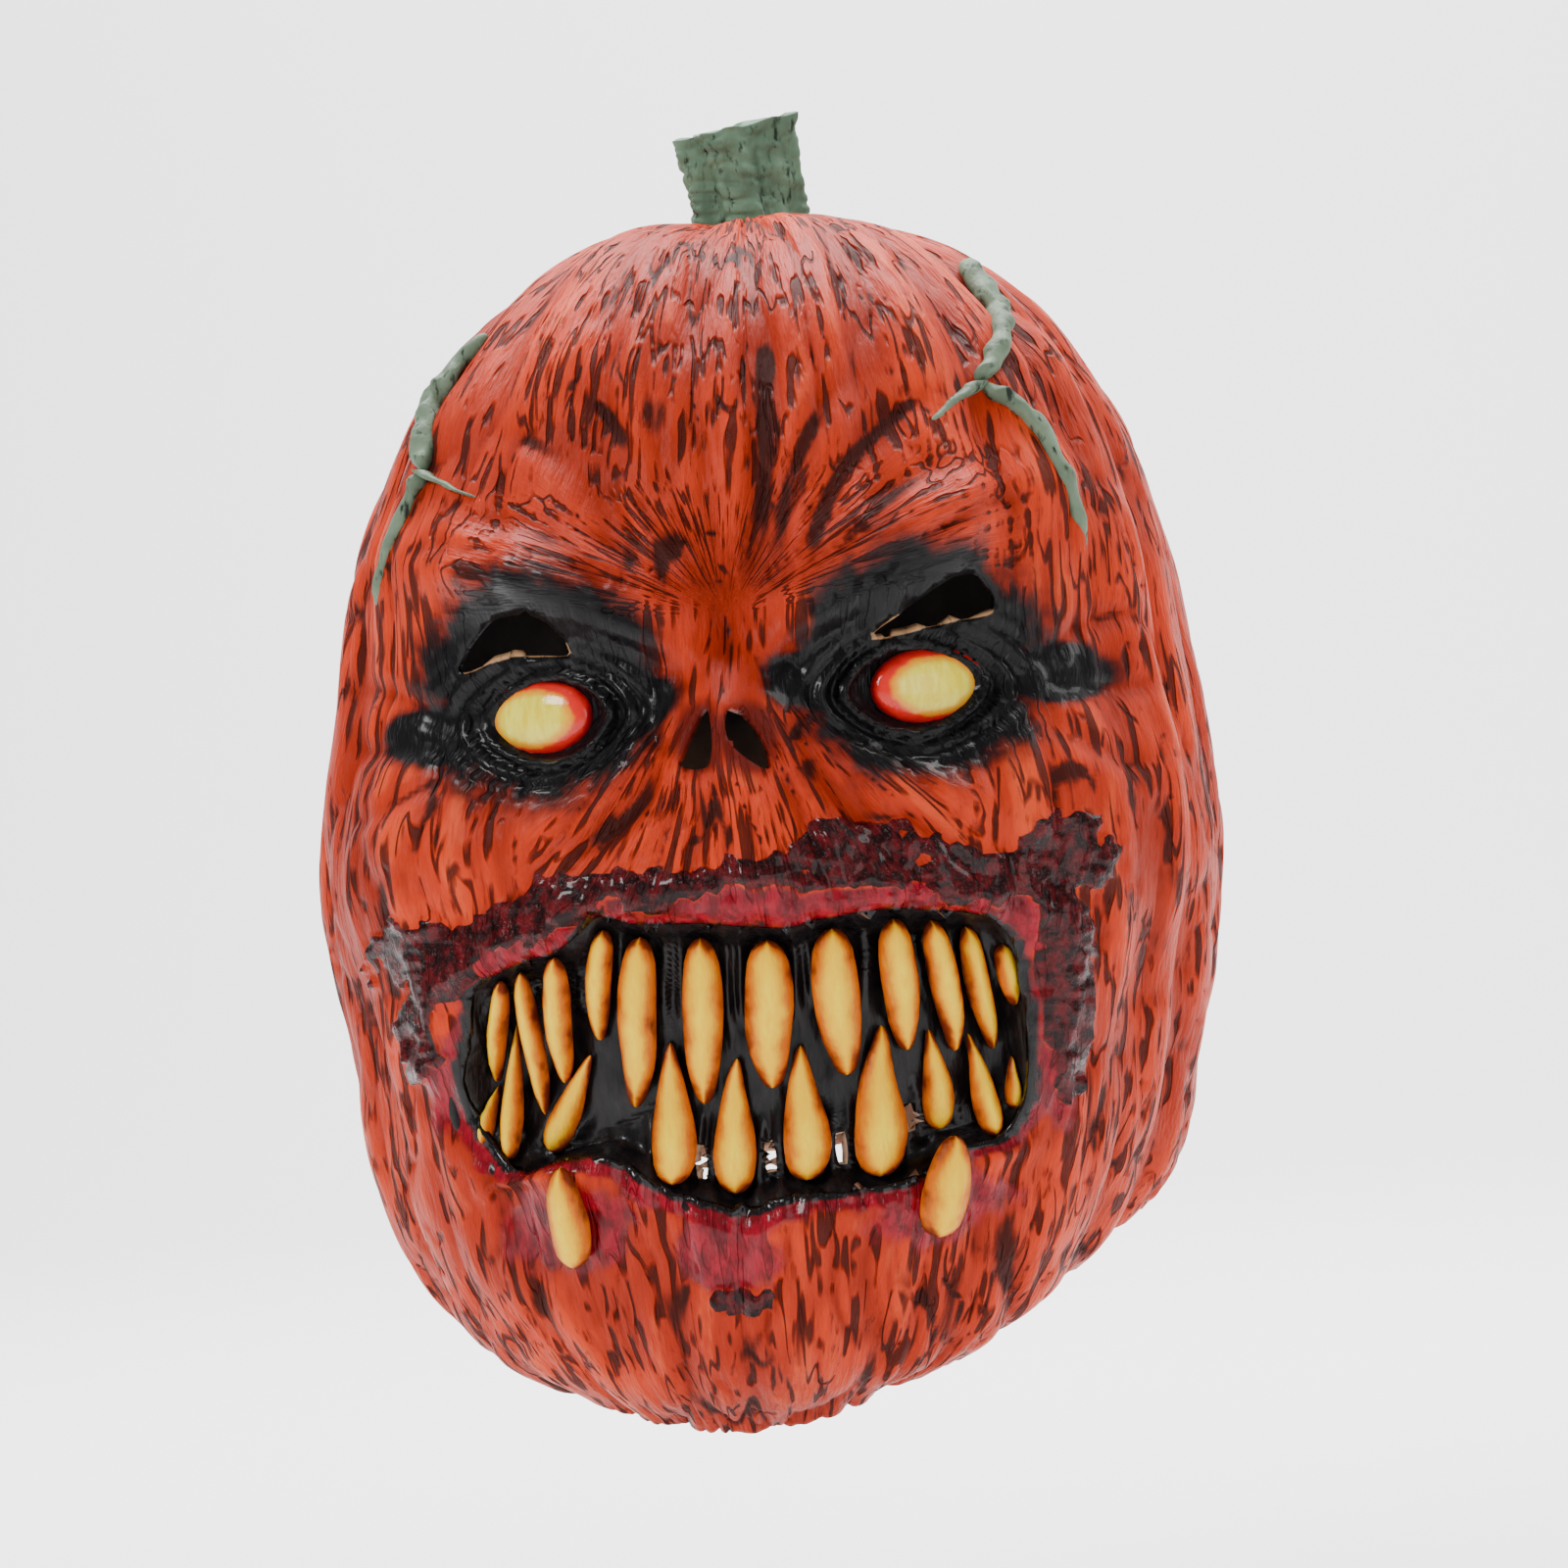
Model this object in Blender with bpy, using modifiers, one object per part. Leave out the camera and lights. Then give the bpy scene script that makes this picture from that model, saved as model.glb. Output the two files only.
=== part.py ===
"""A full-head latex pumpkin mask: ribbed shell, torn mouth with two rows of teeth, painted eyes, stem and vines.

Metres, +Z up. The face looks along -Y and the wearer's left side is at +X. The origin is inside the crown,
on the vertical axis, where the mask sits on the wearer's head.
"""
import math
from collections import namedtuple

import bmesh
import bpy
import numpy as np

# Overall sizes of the shell
MASK_HEIGHT = 0.336
MASK_WIDTH = 0.246
FACE_DEPTH = 0.124
BACK_DEPTH = 0.138
WALL = 0.0020
GAP = 0.0003

# How the shell leans to one side, and how square its plan is
CROWN_LEAN = 0.0065
JAW_LEAN = -0.0085
JAW_LEAN_ONSET = 1.7
SQUARENESS = 2.2
CHEEK_FULLNESS = 1.25

# Depths and heights of what is moulded into the shell
RIB_GROOVE = 0.0055
GROOVE_WIDTH = 0.0075
FACE_RELIEF = 0.012
LIP_HEIGHT = 0.0035
LIP_WIDTH = 0.0120
HEM_FLAP = 0.007
HEM_FLAP_TURN = -49
HEM_FLAP_SPREAD = 20

# The mouth and what stands in it
GUM_WALL = 0.0020
GUM_CLEARANCE = 0.0016
GUM_MARGIN = 0.006
MOUTH_HOLLOW = 0.0095
CORNER_HOLLOW = 0.0060
AIR_SLOT_WIDTH = 0.0030
AIR_SLOT_HEIGHT = 0.0120
TOOTH_WIDTH = 0.0145
TOOTH_THICKNESS = 0.0110
TOOTH_TAPER = 0.28
TOOTH_RAISED = 0.22
LIP_TOOTH_RAISED = 0.45

# The eyes
EYE_WIDTH = 0.0325
EYE_HEIGHT = 0.0205
EYE_THICKNESS = 0.0110
EYE_PROUD = 0.0050

# The stem and the vines
STEM_WIDTH = 0.0310
STEM_HEIGHT = 0.0330
STEM_SUNK = 0.0020
STEM_LEAN = -0.0025
STEM_FLATNESS = 0.86
STEM_FLUTES = 5
STEM_FLUTE_DEPTH = 0.10
STEM_FOOT_FLARE = 0.16
STEM_TOP_FLARE = 0.20
STEM_TOP_SLANT = 0.10
VINE_WIDTH = 0.0085

# How finely the forms are divided
SHELL_COLUMNS = 48
SHELL_ROWS = 38
GUM_SPOKES = 40
GUM_RINGS = 7

# One section of the shell from crown to hem: how far out and how high it lies at the front, side and back.
# Out is a share of the face's depth, half the width and the back's depth, up is a share of the height.
Section = namedtuple("Section", "front_out front_up side_out side_up back_out back_up")
SECTIONS = (
    Section(0.000, 0.978, 0.000, 0.978, 0.000, 0.978),
    Section(0.180, 0.994, 0.160, 0.994, 0.175, 0.994),
    Section(0.390, 0.988, 0.350, 0.985, 0.380, 0.990),
    Section(0.585, 0.958, 0.515, 0.948, 0.580, 0.958),
    Section(0.755, 0.904, 0.680, 0.888, 0.755, 0.905),
    Section(0.875, 0.832, 0.810, 0.818, 0.878, 0.835),
    Section(0.948, 0.750, 0.890, 0.735, 0.950, 0.755),
    Section(0.985, 0.662, 0.937, 0.647, 0.990, 0.672),
    Section(1.000, 0.570, 0.972, 0.558, 1.000, 0.588),
    Section(1.000, 0.477, 1.000, 0.470, 0.997, 0.505),
    Section(0.995, 0.382, 0.975, 0.393, 0.978, 0.430),
    Section(0.970, 0.290, 0.950, 0.325, 0.953, 0.361),
    Section(0.900, 0.200, 0.918, 0.268, 0.922, 0.298),
    Section(0.800, 0.122, 0.890, 0.234, 0.893, 0.256),
    Section(0.680, 0.062, 0.862, 0.212, 0.875, 0.232),
    Section(0.530, 0.030, 0.835, 0.197, 0.865, 0.215),
)
LAST_SECTION = len(SECTIONS) - 1

# A groove between two ribs: its turn in degrees from the face's middle, to the wearer's left, at its top
# and at its foot, the sections it runs between, and its depth as a share of RIB_GROOVE.
Groove = namedtuple("Groove", "top_turn foot_turn first last depth")
GROOVES = (
    Groove(-45, -28, 1.5, 6.4, 0.55),
    Groove(-22, -12, 1.5, 6.6, 0.55),
    Groove(-4, 0, 1.5, 7.1, 0.70),
    Groove(9, 5, 1.5, 7.1, 0.70),
    Groove(30, 20, 1.5, 6.6, 0.65),
    Groove(42, 38, 1.5, 6.4, 0.55),
    Groove(57, 56, 1.5, 14.0, 0.60),
    Groove(72, 69, 1.5, 14.5, 0.75),
    Groove(90, 88, 1.5, 15.0, 0.95),
    Groove(113, 112, 1.5, 15.0, 1.00),
    Groove(138, 138, 1.5, 15.0, 1.00),
    Groove(163, 163, 1.5, 15.0, 1.00),
    Groove(-172, -172, 1.5, 15.0, 1.00),
    Groove(-147, -147, 1.5, 15.0, 1.00),
    Groove(-121, -120, 1.5, 15.0, 1.00),
    Groove(-96, -94, 1.5, 15.0, 0.95),
    Groove(-76, -72, 1.5, 14.5, 0.75),
    Groove(-60, -56, 1.5, 14.0, 0.55),
)

# A soft rise or hollow of the face. Across and wide are shares of half the width, up and tall are shares
# of the height, tilt is in degrees, and height is a share of FACE_RELIEF.
Bump = namedtuple("Bump", "across up wide tall tilt height")
BUMPS = (
    Bump(-0.400, 0.605, 0.260, 0.064, 0, -1.20),
    Bump(0.460, 0.605, 0.260, 0.064, 0, -1.20),
    Bump(-0.330, 0.708, 0.300, 0.030, -12, 0.75),
    Bump(0.400, 0.722, 0.300, 0.030, 16, 0.75),
    Bump(0.040, 0.660, 0.055, 0.035, 0, -0.40),
    Bump(0.033, 0.608, 0.070, 0.034, 0, 0.80),
    Bump(0.030, 0.560, 0.115, 0.028, 0, 1.00),
    Bump(0.000, 0.490, 0.330, 0.050, 0, 0.45),
    Bump(-0.720, 0.530, 0.200, 0.060, 0, 0.40),
    Bump(0.770, 0.520, 0.200, 0.060, 0, 0.40),
    Bump(-0.020, 0.125, 0.280, 0.045, 0, 0.50),
)

# The edge of the mouth, clockwise from the wearer's right corner, as seen from in front.
Spot = namedtuple("Spot", "across up")
MOUTH_EDGE = (
    Spot(-0.569, 0.396), Spot(-0.455, 0.415), Spot(-0.382, 0.420), Spot(-0.317, 0.434),
    Spot(-0.268, 0.446), Spot(-0.195, 0.438), Spot(-0.049, 0.434), Spot(0.114, 0.426),
    Spot(0.187, 0.430), Spot(0.333, 0.434), Spot(0.423, 0.430), Spot(0.496, 0.426),
    Spot(0.561, 0.414), Spot(0.593, 0.390), Spot(0.602, 0.333), Spot(0.585, 0.280),
    Spot(0.537, 0.250), Spot(0.447, 0.244), Spot(0.382, 0.229), Spot(0.228, 0.220),
    Spot(0.065, 0.220), Spot(-0.016, 0.210), Spot(-0.089, 0.217), Spot(-0.179, 0.229),
    Spot(-0.250, 0.248), Spot(-0.330, 0.262), Spot(-0.423, 0.260), Spot(-0.504, 0.252),
    Spot(-0.569, 0.265), Spot(-0.610, 0.292), Spot(-0.626, 0.321), Spot(-0.602, 0.360),
)
MOUTH_MIDDLE = Spot(0.000, 0.330)

# The cut edges of the vision slits and the nostrils.
RIGHT_SLIT = (
    Spot(-0.548, 0.641), Spot(-0.503, 0.667), Spot(-0.455, 0.678), Spot(-0.375, 0.679),
    Spot(-0.325, 0.670), Spot(-0.295, 0.648), Spot(-0.420, 0.650),
)
LEFT_SLIT = (
    Spot(0.335, 0.640), Spot(0.410, 0.660), Spot(0.490, 0.678), Spot(0.530, 0.683),
    Spot(0.570, 0.680), Spot(0.588, 0.655), Spot(0.497, 0.649),
)
RIGHT_NOSTRIL = (
    Spot(-0.065, 0.556), Spot(-0.042, 0.580), Spot(-0.010, 0.597), Spot(0.008, 0.592),
    Spot(0.013, 0.570), Spot(-0.004, 0.552),
)
LEFT_NOSTRIL = (
    Spot(0.048, 0.593), Spot(0.070, 0.594), Spot(0.104, 0.578), Spot(0.127, 0.556),
    Spot(0.116, 0.547), Spot(0.070, 0.560), Spot(0.045, 0.575),
)

# A tooth from its root in the gum to its tip, with its width as a share of TOOTH_WIDTH.
Tooth = namedtuple("Tooth", "root_across root_up tip_across tip_up wide")
UPPER_TEETH = (
    Tooth(-0.500, 0.404, -0.538, 0.324, 0.36),
    Tooth(-0.452, 0.409, -0.434, 0.296, 0.40),
    Tooth(-0.368, 0.419, -0.386, 0.321, 0.52),
    Tooth(-0.262, 0.437, -0.302, 0.352, 0.48),
    Tooth(-0.186, 0.429, -0.236, 0.298, 0.72),
    Tooth(-0.060, 0.425, -0.090, 0.297, 0.74),
    Tooth(0.072, 0.420, 0.048, 0.306, 0.88),
    Tooth(0.212, 0.425, 0.204, 0.311, 0.85),
    Tooth(0.330, 0.428, 0.332, 0.326, 0.68),
    Tooth(0.406, 0.424, 0.430, 0.322, 0.56),
    Tooth(0.468, 0.416, 0.504, 0.320, 0.46),
    Tooth(0.540, 0.400, 0.556, 0.352, 0.40),
)
LOWER_TEETH = (
    Tooth(-0.576, 0.274, -0.540, 0.318, 0.25),
    Tooth(-0.520, 0.262, -0.478, 0.368, 0.40),
    Tooth(-0.438, 0.268, -0.320, 0.340, 0.56),
    Tooth(-0.168, 0.236, -0.146, 0.345, 0.80),
    Tooth(-0.046, 0.226, -0.016, 0.330, 0.76),
    Tooth(0.108, 0.232, 0.122, 0.336, 0.84),
    Tooth(0.252, 0.230, 0.279, 0.346, 0.94),
    Tooth(0.384, 0.262, 0.378, 0.340, 0.58),
    Tooth(0.494, 0.252, 0.452, 0.332, 0.48),
    Tooth(0.536, 0.272, 0.540, 0.312, 0.28),
)
LIP_TEETH = (
    Tooth(-0.384, 0.183, -0.384, 0.262, 0.76),
    Tooth(0.356, 0.185, 0.414, 0.262, 0.88),
)
AIR_SLOTS = (Spot(-0.112, 0.252), Spot(0.034, 0.250), Spot(0.184, 0.254), Spot(0.326, 0.268))

# The middles of the two eyes and the stem's foot.
EYES = (("eye_right", Spot(-0.383, 0.601)), ("eye_left", Spot(0.441, 0.601)))
STEM_FOOT = Spot(0.070, 0.978)

# The vines' branches over the forehead, by turn in degrees and by section.
Bend = namedtuple("Bend", "turn row")
VINES = {
    "vine_left": (
        (Bend(61.5, 3.2), Bend(57.0, 3.9), Bend(47.0, 4.5), Bend(40.5, 4.9)),
        (Bend(40.5, 4.9), Bend(35.0, 5.1), Bend(29.5, 5.35)),
        (Bend(40.5, 4.9), Bend(47.0, 5.3), Bend(48.5, 5.7), Bend(50.0, 6.05), Bend(53.0, 6.5)),
    ),
    "vine_right": (
        (Bend(-48.5, 3.8), Bend(-52.5, 4.5), Bend(-50.0, 4.9), Bend(-47.0, 5.3)),
        (Bend(-47.0, 5.3), Bend(-41.0, 5.45), Bend(-34.0, 5.65)),
        (Bend(-47.0, 5.3), Bend(-48.5, 5.7), Bend(-50.5, 6.05), Bend(-53.0, 6.5)),
    ),
}

HEAD_SEAT_UP = SECTIONS[0].front_up * MASK_HEIGHT - WALL


def clear_scene():
    """Take away whatever the scene held."""
    for thing in list(bpy.data.objects):
        bpy.data.objects.remove(thing, do_unlink=True)


def paint(name, colour, roughness):
    """A painted latex of one colour."""
    material = bpy.data.materials.new(name)
    material.use_nodes = True
    finish = material.node_tree.nodes["Principled BSDF"]
    finish.inputs["Base Color"].default_value = (*colour, 1.0)
    finish.inputs["Roughness"].default_value = roughness
    finish.inputs["Metallic"].default_value = 0.0
    material.diffuse_color = (*colour, 1.0)
    return material


def new_object(name, mesh, collection, material=None):
    """Put a mesh into the scene as a named object."""
    thing = bpy.data.objects.new(name, mesh)
    if material:
        mesh.materials.append(material)
    collection.objects.link(thing)
    return thing


def smooth_step(value):
    """Zero below 0, one above 1, and soft between."""
    value = np.clip(value, 0.0, 1.0)
    return value * value * (3.0 - 2.0 * value)


def read_sections(column, row):
    """One column of the section table at any row between, on a smooth curve."""
    values = np.array([getattr(section, column) for section in SECTIONS])
    row = np.clip(np.asarray(row, dtype=float), 0, LAST_SECTION)
    index = np.minimum(np.floor(row).astype(int), LAST_SECTION - 1)
    share = row - index
    here, there = values[index], values[index + 1]
    before = np.where(index > 0, values[np.maximum(index - 1, 0)], 2 * values[0] - values[1])
    beyond = values[np.minimum(index + 2, LAST_SECTION)]
    after = np.where(index < LAST_SECTION - 1, beyond, 2 * values[-1] - values[-2])
    slope = there - before
    bend = 2 * before - 5 * here + 4 * there - after
    twist = 3 * here - before - 3 * there + after
    return 0.5 * (2 * here + slope * share + bend * share ** 2 + twist * share ** 3)


def form(turn, row):
    """The smooth form under the ribs and the face, at a turn in radians and a row of the table."""
    turn, row = np.broadcast_arrays(np.asarray(turn, dtype=float), np.asarray(row, dtype=float))
    sine, cosine = np.sin(turn), np.cos(turn)
    front = np.maximum(cosine, 0) ** CHEEK_FULLNESS
    back = np.maximum(-cosine, 0) ** CHEEK_FULLNESS
    side = 1 - front - back
    half_width = np.maximum(read_sections("side_out", row) * MASK_WIDTH / 2, 1e-7)
    front_depth = read_sections("front_out", row) * FACE_DEPTH
    back_depth = read_sections("back_out", row) * BACK_DEPTH
    depth = np.maximum(np.where(cosine > 0, front_depth, back_depth), 1e-7)
    outward = (np.abs(sine) / half_width) ** SQUARENESS + (np.abs(cosine) / depth) ** SQUARENESS
    out = outward ** (-1 / SQUARENESS)
    level = (front * read_sections("front_up", row) + side * read_sections("side_up", row)
             + back * read_sections("back_up", row))
    above = np.maximum(2 * level - 1, 0)
    below = np.maximum(1 - 2 * level, 0)
    lean = CROWN_LEAN * above + JAW_LEAN * below ** JAW_LEAN_ONSET
    beside_flap = (turn - math.radians(HEM_FLAP_TURN)) / math.radians(HEM_FLAP_SPREAD)
    flap = np.exp(-beside_flap ** 2) * (row / LAST_SECTION) ** 8
    up = level * MASK_HEIGHT - HEM_FLAP * flap - HEAD_SEAT_UP
    return np.stack([out * sine + lean, -out * cosine, up], -1)


def facing_of(surface, turn, row):
    """Which way a surface faces."""
    step = 0.01
    middle = np.maximum(row, 0.08)
    along = surface(turn + step, middle) - surface(turn - step, middle)
    down = surface(turn, middle + step) - surface(turn, middle - step)
    facing = np.cross(down, along)
    return facing / np.maximum(np.linalg.norm(facing, axis=-1, keepdims=True), 1e-12)


def closed_outline(spots, steps):
    """A smooth closed line through spots, in metres across and up."""
    corners = np.array(spots) * (MASK_WIDTH / 2, MASK_HEIGHT)
    before, after, beyond = np.roll(corners, 1, 0), np.roll(corners, -1, 0), np.roll(corners, -2, 0)
    pieces = []
    for step in range(steps):
        share = step / steps
        pieces.append(0.5 * (2 * corners + (after - before) * share
                             + (2 * before - 5 * corners + 4 * after - beyond) * share ** 2
                             + (3 * corners - before - 3 * after + beyond) * share ** 3))
    return np.stack(pieces, 1).reshape(-1, 2)


def mouth_reach(across, up):
    """How far a place lies from the mouth's middle, as a share of the way to the mouth's edge."""
    edge = closed_outline(MOUTH_EDGE, 3)
    middle = np.array(MOUTH_MIDDLE) * (MASK_WIDTH / 2, MASK_HEIGHT)
    spoke = edge - middle
    angles = np.arctan2(spoke[:, 1], spoke[:, 0])
    order = np.argsort(angles)
    lengths = np.linalg.norm(spoke, axis=1)[order]
    towards = np.arctan2(up - middle[1], across - middle[0])
    limit = np.interp(towards, angles[order], lengths, period=2 * math.pi)
    return np.hypot(across - middle[0], up - middle[1]) / limit, limit


def relief(turn, row, place):
    """How far the ribs and the face rise from the smooth form, in metres."""
    across, up = place[..., 0], place[..., 2] + HEAD_SEAT_UP
    out = np.hypot(place[..., 0], place[..., 1])
    rise = np.zeros(out.shape)
    degrees = np.degrees(turn)
    for groove in GROOVES:
        share = np.clip((row - groove.first) / (groove.last - groove.first), 0, 1)
        middle = groove.top_turn + (groove.foot_turn - groove.top_turn) * share
        apart = (degrees - middle + 180) % 360 - 180
        aside = np.radians(apart) * out / GROOVE_WIDTH
        ends = smooth_step((row - groove.first + 0.6) / 1.6) * smooth_step((groove.last + 0.8 - row) / 1.2)
        rise -= RIB_GROOVE * groove.depth * ends * np.exp(-aside ** 2)
    in_front = smooth_step(np.cos(turn) * 3)
    for bump in BUMPS:
        tilt = math.radians(bump.tilt)
        right = across - bump.across * MASK_WIDTH / 2
        high = up - bump.up * MASK_HEIGHT
        along = (right * math.cos(tilt) + high * math.sin(tilt)) / (bump.wide * MASK_WIDTH / 2)
        over = (high * math.cos(tilt) - right * math.sin(tilt)) / (bump.tall * MASK_HEIGHT)
        rise += FACE_RELIEF * bump.height * in_front * np.exp(-along ** 2 - over ** 2)
    reach, limit = mouth_reach(across, up)
    beside = (reach - 1) * limit / LIP_WIDTH
    rise += LIP_HEIGHT * in_front * np.exp(-(beside - 0.3) ** 2)
    return rise


def skin(turn, row):
    """The outside of the shell at a turn in radians and a row of the table."""
    place = form(turn, row)
    turn, row = np.broadcast_arrays(turn, row)
    return place + facing_of(form, turn, row) * relief(turn, row, place)[..., None]


def find_on_face(across, up):
    """The turn and row where the front of the skin lies at these metres across and above the hem."""
    across, up = np.asarray(across, dtype=float), np.asarray(up, dtype=float) - HEAD_SEAT_UP
    turn = np.arctan2(across, FACE_DEPTH * 0.9)
    row = LAST_SECTION * (1 - np.clip((up + HEAD_SEAT_UP) / MASK_HEIGHT, 0.02, 0.98)) * 0.9 + 1.2
    nudge = 0.004
    for _ in range(14):
        here = skin(turn, row)
        by_turn = (skin(turn + nudge, row) - here) / nudge
        by_row = (skin(turn, row + nudge) - here) / nudge
        miss_across, miss_up = across - here[..., 0], up - here[..., 2]
        scale = by_turn[..., 0] * by_row[..., 2] - by_row[..., 0] * by_turn[..., 2]
        scale = np.where(np.abs(scale) < 1e-8, 1e-8, scale)
        turn_step = (miss_across * by_row[..., 2] - miss_up * by_row[..., 0]) / scale
        row_step = (miss_up * by_turn[..., 0] - miss_across * by_turn[..., 2]) / scale
        turn = np.clip(turn + np.clip(turn_step, -0.3, 0.3), -1.55, 1.55)
        row = np.clip(row + np.clip(row_step, -1.0, 1.0), 0.5, LAST_SECTION)
    return turn, row


def on_face(across, up):
    """The place on the front of the skin at these metres across and above the hem, and its facing."""
    turn, row = find_on_face(across, up)
    return skin(turn, row), facing_of(form, turn, row)


def on_lip(across, up):
    """The place on the front of the skin at these metres across and above the hem."""
    return on_face(across, up)[0]


def gum_hollow(across, up):
    """How far the gums lie behind the lips' inside, measured straight back."""
    reach, _ = mouth_reach(across, up)
    corner = smooth_step(np.abs(across / (MASK_WIDTH / 2)) / 0.55 - 0.35)
    return smooth_step((1.06 - reach) / 0.24) * (MOUTH_HOLLOW + CORNER_HOLLOW * corner)


def on_gums(across, up):
    """The place on the front of the gums at these metres across and above the hem."""
    turn, row = find_on_face(across, up)
    place, facing = skin(turn, row), facing_of(skin, turn, row)
    behind = (WALL + GUM_CLEARANCE) / np.maximum(-facing[..., 1], 0.3)
    place[..., 1] += behind + gum_hollow(across, up)
    return place


def placed_grid(name, columns, rows, place, collection, material=None):
    """A grid whose points are placed by a function of two shares, welded where they meet.

    It is split into triangles, so that a piece and the cutter made from the same grid fit each other.
    """
    mesh = bpy.data.meshes.new(name)
    sheet = bmesh.new()
    bmesh.ops.create_grid(sheet, x_segments=columns, y_segments=rows, size=0.5)
    shares = np.array([point.co[:2] for point in sheet.verts]) + 0.5
    for point, spot in zip(sheet.verts, place(shares[:, 0], shares[:, 1])):
        point.co = spot
    bmesh.ops.remove_doubles(sheet, verts=sheet.verts, dist=GAP / 10)
    bmesh.ops.triangulate(sheet, faces=sheet.faces)
    bmesh.ops.recalc_face_normals(sheet, faces=sheet.faces)
    sheet.to_mesh(mesh)
    sheet.free()
    return new_object(name, mesh, collection, material)


def shell_place(across_share, down_share):
    """The skin at two shares of the grid, with finer columns and rows at the face."""
    side = 2 * across_share - 1
    turn = math.pi * side - 0.18 * math.pi * np.sin(math.pi * side)
    wave = np.sin(2 * math.pi * (down_share - 0.15)) + math.sin(0.3 * math.pi)
    return skin(turn, LAST_SECTION * (down_share + 0.06 * wave))


def gum_place(around_share, out_share):
    """The front of the gums at two shares, round the mouth's middle and out past its edge."""
    middle = np.array(MOUTH_MIDDLE) * (MASK_WIDTH / 2, MASK_HEIGHT)
    angle = 2 * math.pi * around_share
    _, limit = mouth_reach(middle[0] + np.cos(angle), middle[1] + np.sin(angle))
    out = out_share * (limit + GUM_MARGIN)
    return on_gums(middle[0] + np.cos(angle) * out, middle[1] + np.sin(angle) * out)


def thicken(thing, thickness, proud=0.0):
    """Give a sheet a thickness behind its face, and some of it in front."""
    solidify = thing.modifiers.new("wall", "SOLIDIFY")
    solidify.thickness = thickness + proud
    solidify.offset = 2 * proud / (thickness + proud) - 1


def hide_cutter(thing):
    """Mark an object as a cutter."""
    thing.hide_render = True
    thing.display_type = "WIRE"


def cut(thing, cutter, overlapping=False):
    """Take a cutter's shape out of a piece, which may be made of overlapping bodies."""
    boolean = thing.modifiers.new("cut_" + cutter.name, "BOOLEAN")
    boolean.operation = "DIFFERENCE"
    boolean.solver = "EXACT"
    boolean.use_self = overlapping
    boolean.object = cutter


def face_punch(name, outline, cutters):
    """A straight punch along Y through the face, with an outline in metres across and above the hem."""
    mesh = bpy.data.meshes.new(name)
    punch = bmesh.new()
    points = [punch.verts.new((x, -2 * FACE_DEPTH, z - HEAD_SEAT_UP)) for x, z in outline]
    rim = punch.faces.new(points)
    pulled = bmesh.ops.extrude_face_region(punch, geom=[rim])
    far = [part for part in pulled["geom"] if isinstance(part, bmesh.types.BMVert)]
    bmesh.ops.translate(punch, verts=far, vec=(0, 2 * FACE_DEPTH - FACE_DEPTH / 4, 0))
    bmesh.ops.recalc_face_normals(punch, faces=punch.faces)
    punch.to_mesh(mesh)
    punch.free()
    cutter = new_object(name, mesh, cutters)
    hide_cutter(cutter)
    return cutter


def make_shell(parts, cutters):
    """The latex shell, with the mouth, the vision slits and the nostrils cut through it."""
    orange = paint("orange_latex", (0.560, 0.080, 0.030), 0.45)
    shell = placed_grid("mask_shell", SHELL_COLUMNS, SHELL_ROWS, shell_place, parts, orange)
    thicken(shell, WALL)
    cut(shell, face_punch("mouth_punch", closed_outline(MOUTH_EDGE, 2), cutters))
    holes = {"slit_punch_right": RIGHT_SLIT, "slit_punch_left": LEFT_SLIT,
             "nostril_punch_right": RIGHT_NOSTRIL, "nostril_punch_left": LEFT_NOSTRIL}
    for name, spots in holes.items():
        cut(shell, face_punch(name, closed_outline(spots, 2), cutters))


def skin_block(name, depth, cutters):
    """A copy of the shell of another depth, grown by the gap, that trims what is set on it or behind it."""
    block = placed_grid(name, SHELL_COLUMNS, SHELL_ROWS, shell_place, cutters)
    thicken(block, depth, 1.2 * GAP)
    hide_cutter(block)
    return block


def make_gums(parts, cutters):
    """The black gums behind the mouth, with slots cut between the lower teeth."""
    black = paint("black_gum", (0.012, 0.010, 0.010), 0.25)
    gums = placed_grid("gums", GUM_SPOKES, GUM_RINGS, gum_place, parts, black)
    thicken(gums, GUM_WALL)
    for number, slot in enumerate(AIR_SLOTS, 1):
        middle = np.array(slot) * (MASK_WIDTH / 2, MASK_HEIGHT)
        angles = np.linspace(0, 2 * math.pi, 8, endpoint=False)
        ring = np.stack([np.cos(angles) * AIR_SLOT_WIDTH / 2, np.sin(angles) * AIR_SLOT_HEIGHT / 2], -1)
        cut(gums, face_punch(f"air_slot_{number}", middle + ring, cutters))


def gum_block(cutters):
    """A thick copy of the gums, grown by the gap, that trims the backs of the teeth."""
    block = placed_grid("gum_trim", GUM_SPOKES, GUM_RINGS, gum_place, cutters)
    thicken(block, TOOTH_THICKNESS * 0.6, GAP)
    hide_cutter(block)
    return block


def egg(name, root, tip, wide, thick, facing, collection, material):
    """A tooth shape between two places, widest near its root, with its flat way along the facing."""
    mesh = bpy.data.meshes.new(name)
    body = bmesh.new()
    bmesh.ops.create_uvsphere(body, u_segments=8, v_segments=6, radius=1.0)
    points = np.array([point.co for point in body.verts])
    length = np.linalg.norm(tip - root)
    along = (root - tip) / length
    across = np.cross(along, facing)
    across /= np.linalg.norm(across)
    front = np.cross(across, along)
    taper = 1 + TOOTH_TAPER * points[:, 2]
    place = ((root + tip) / 2 + points[:, 2:] * along * length / 2
             + (points[:, 0] * taper)[:, None] * across * wide / 2
             + (points[:, 1] * taper)[:, None] * front * thick / 2)
    for point, spot in zip(body.verts, place):
        point.co = spot
    bmesh.ops.recalc_face_normals(body, faces=body.faces)
    body.to_mesh(mesh)
    body.free()
    mesh.shade_smooth()
    return new_object(name, mesh, collection, material)


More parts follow.
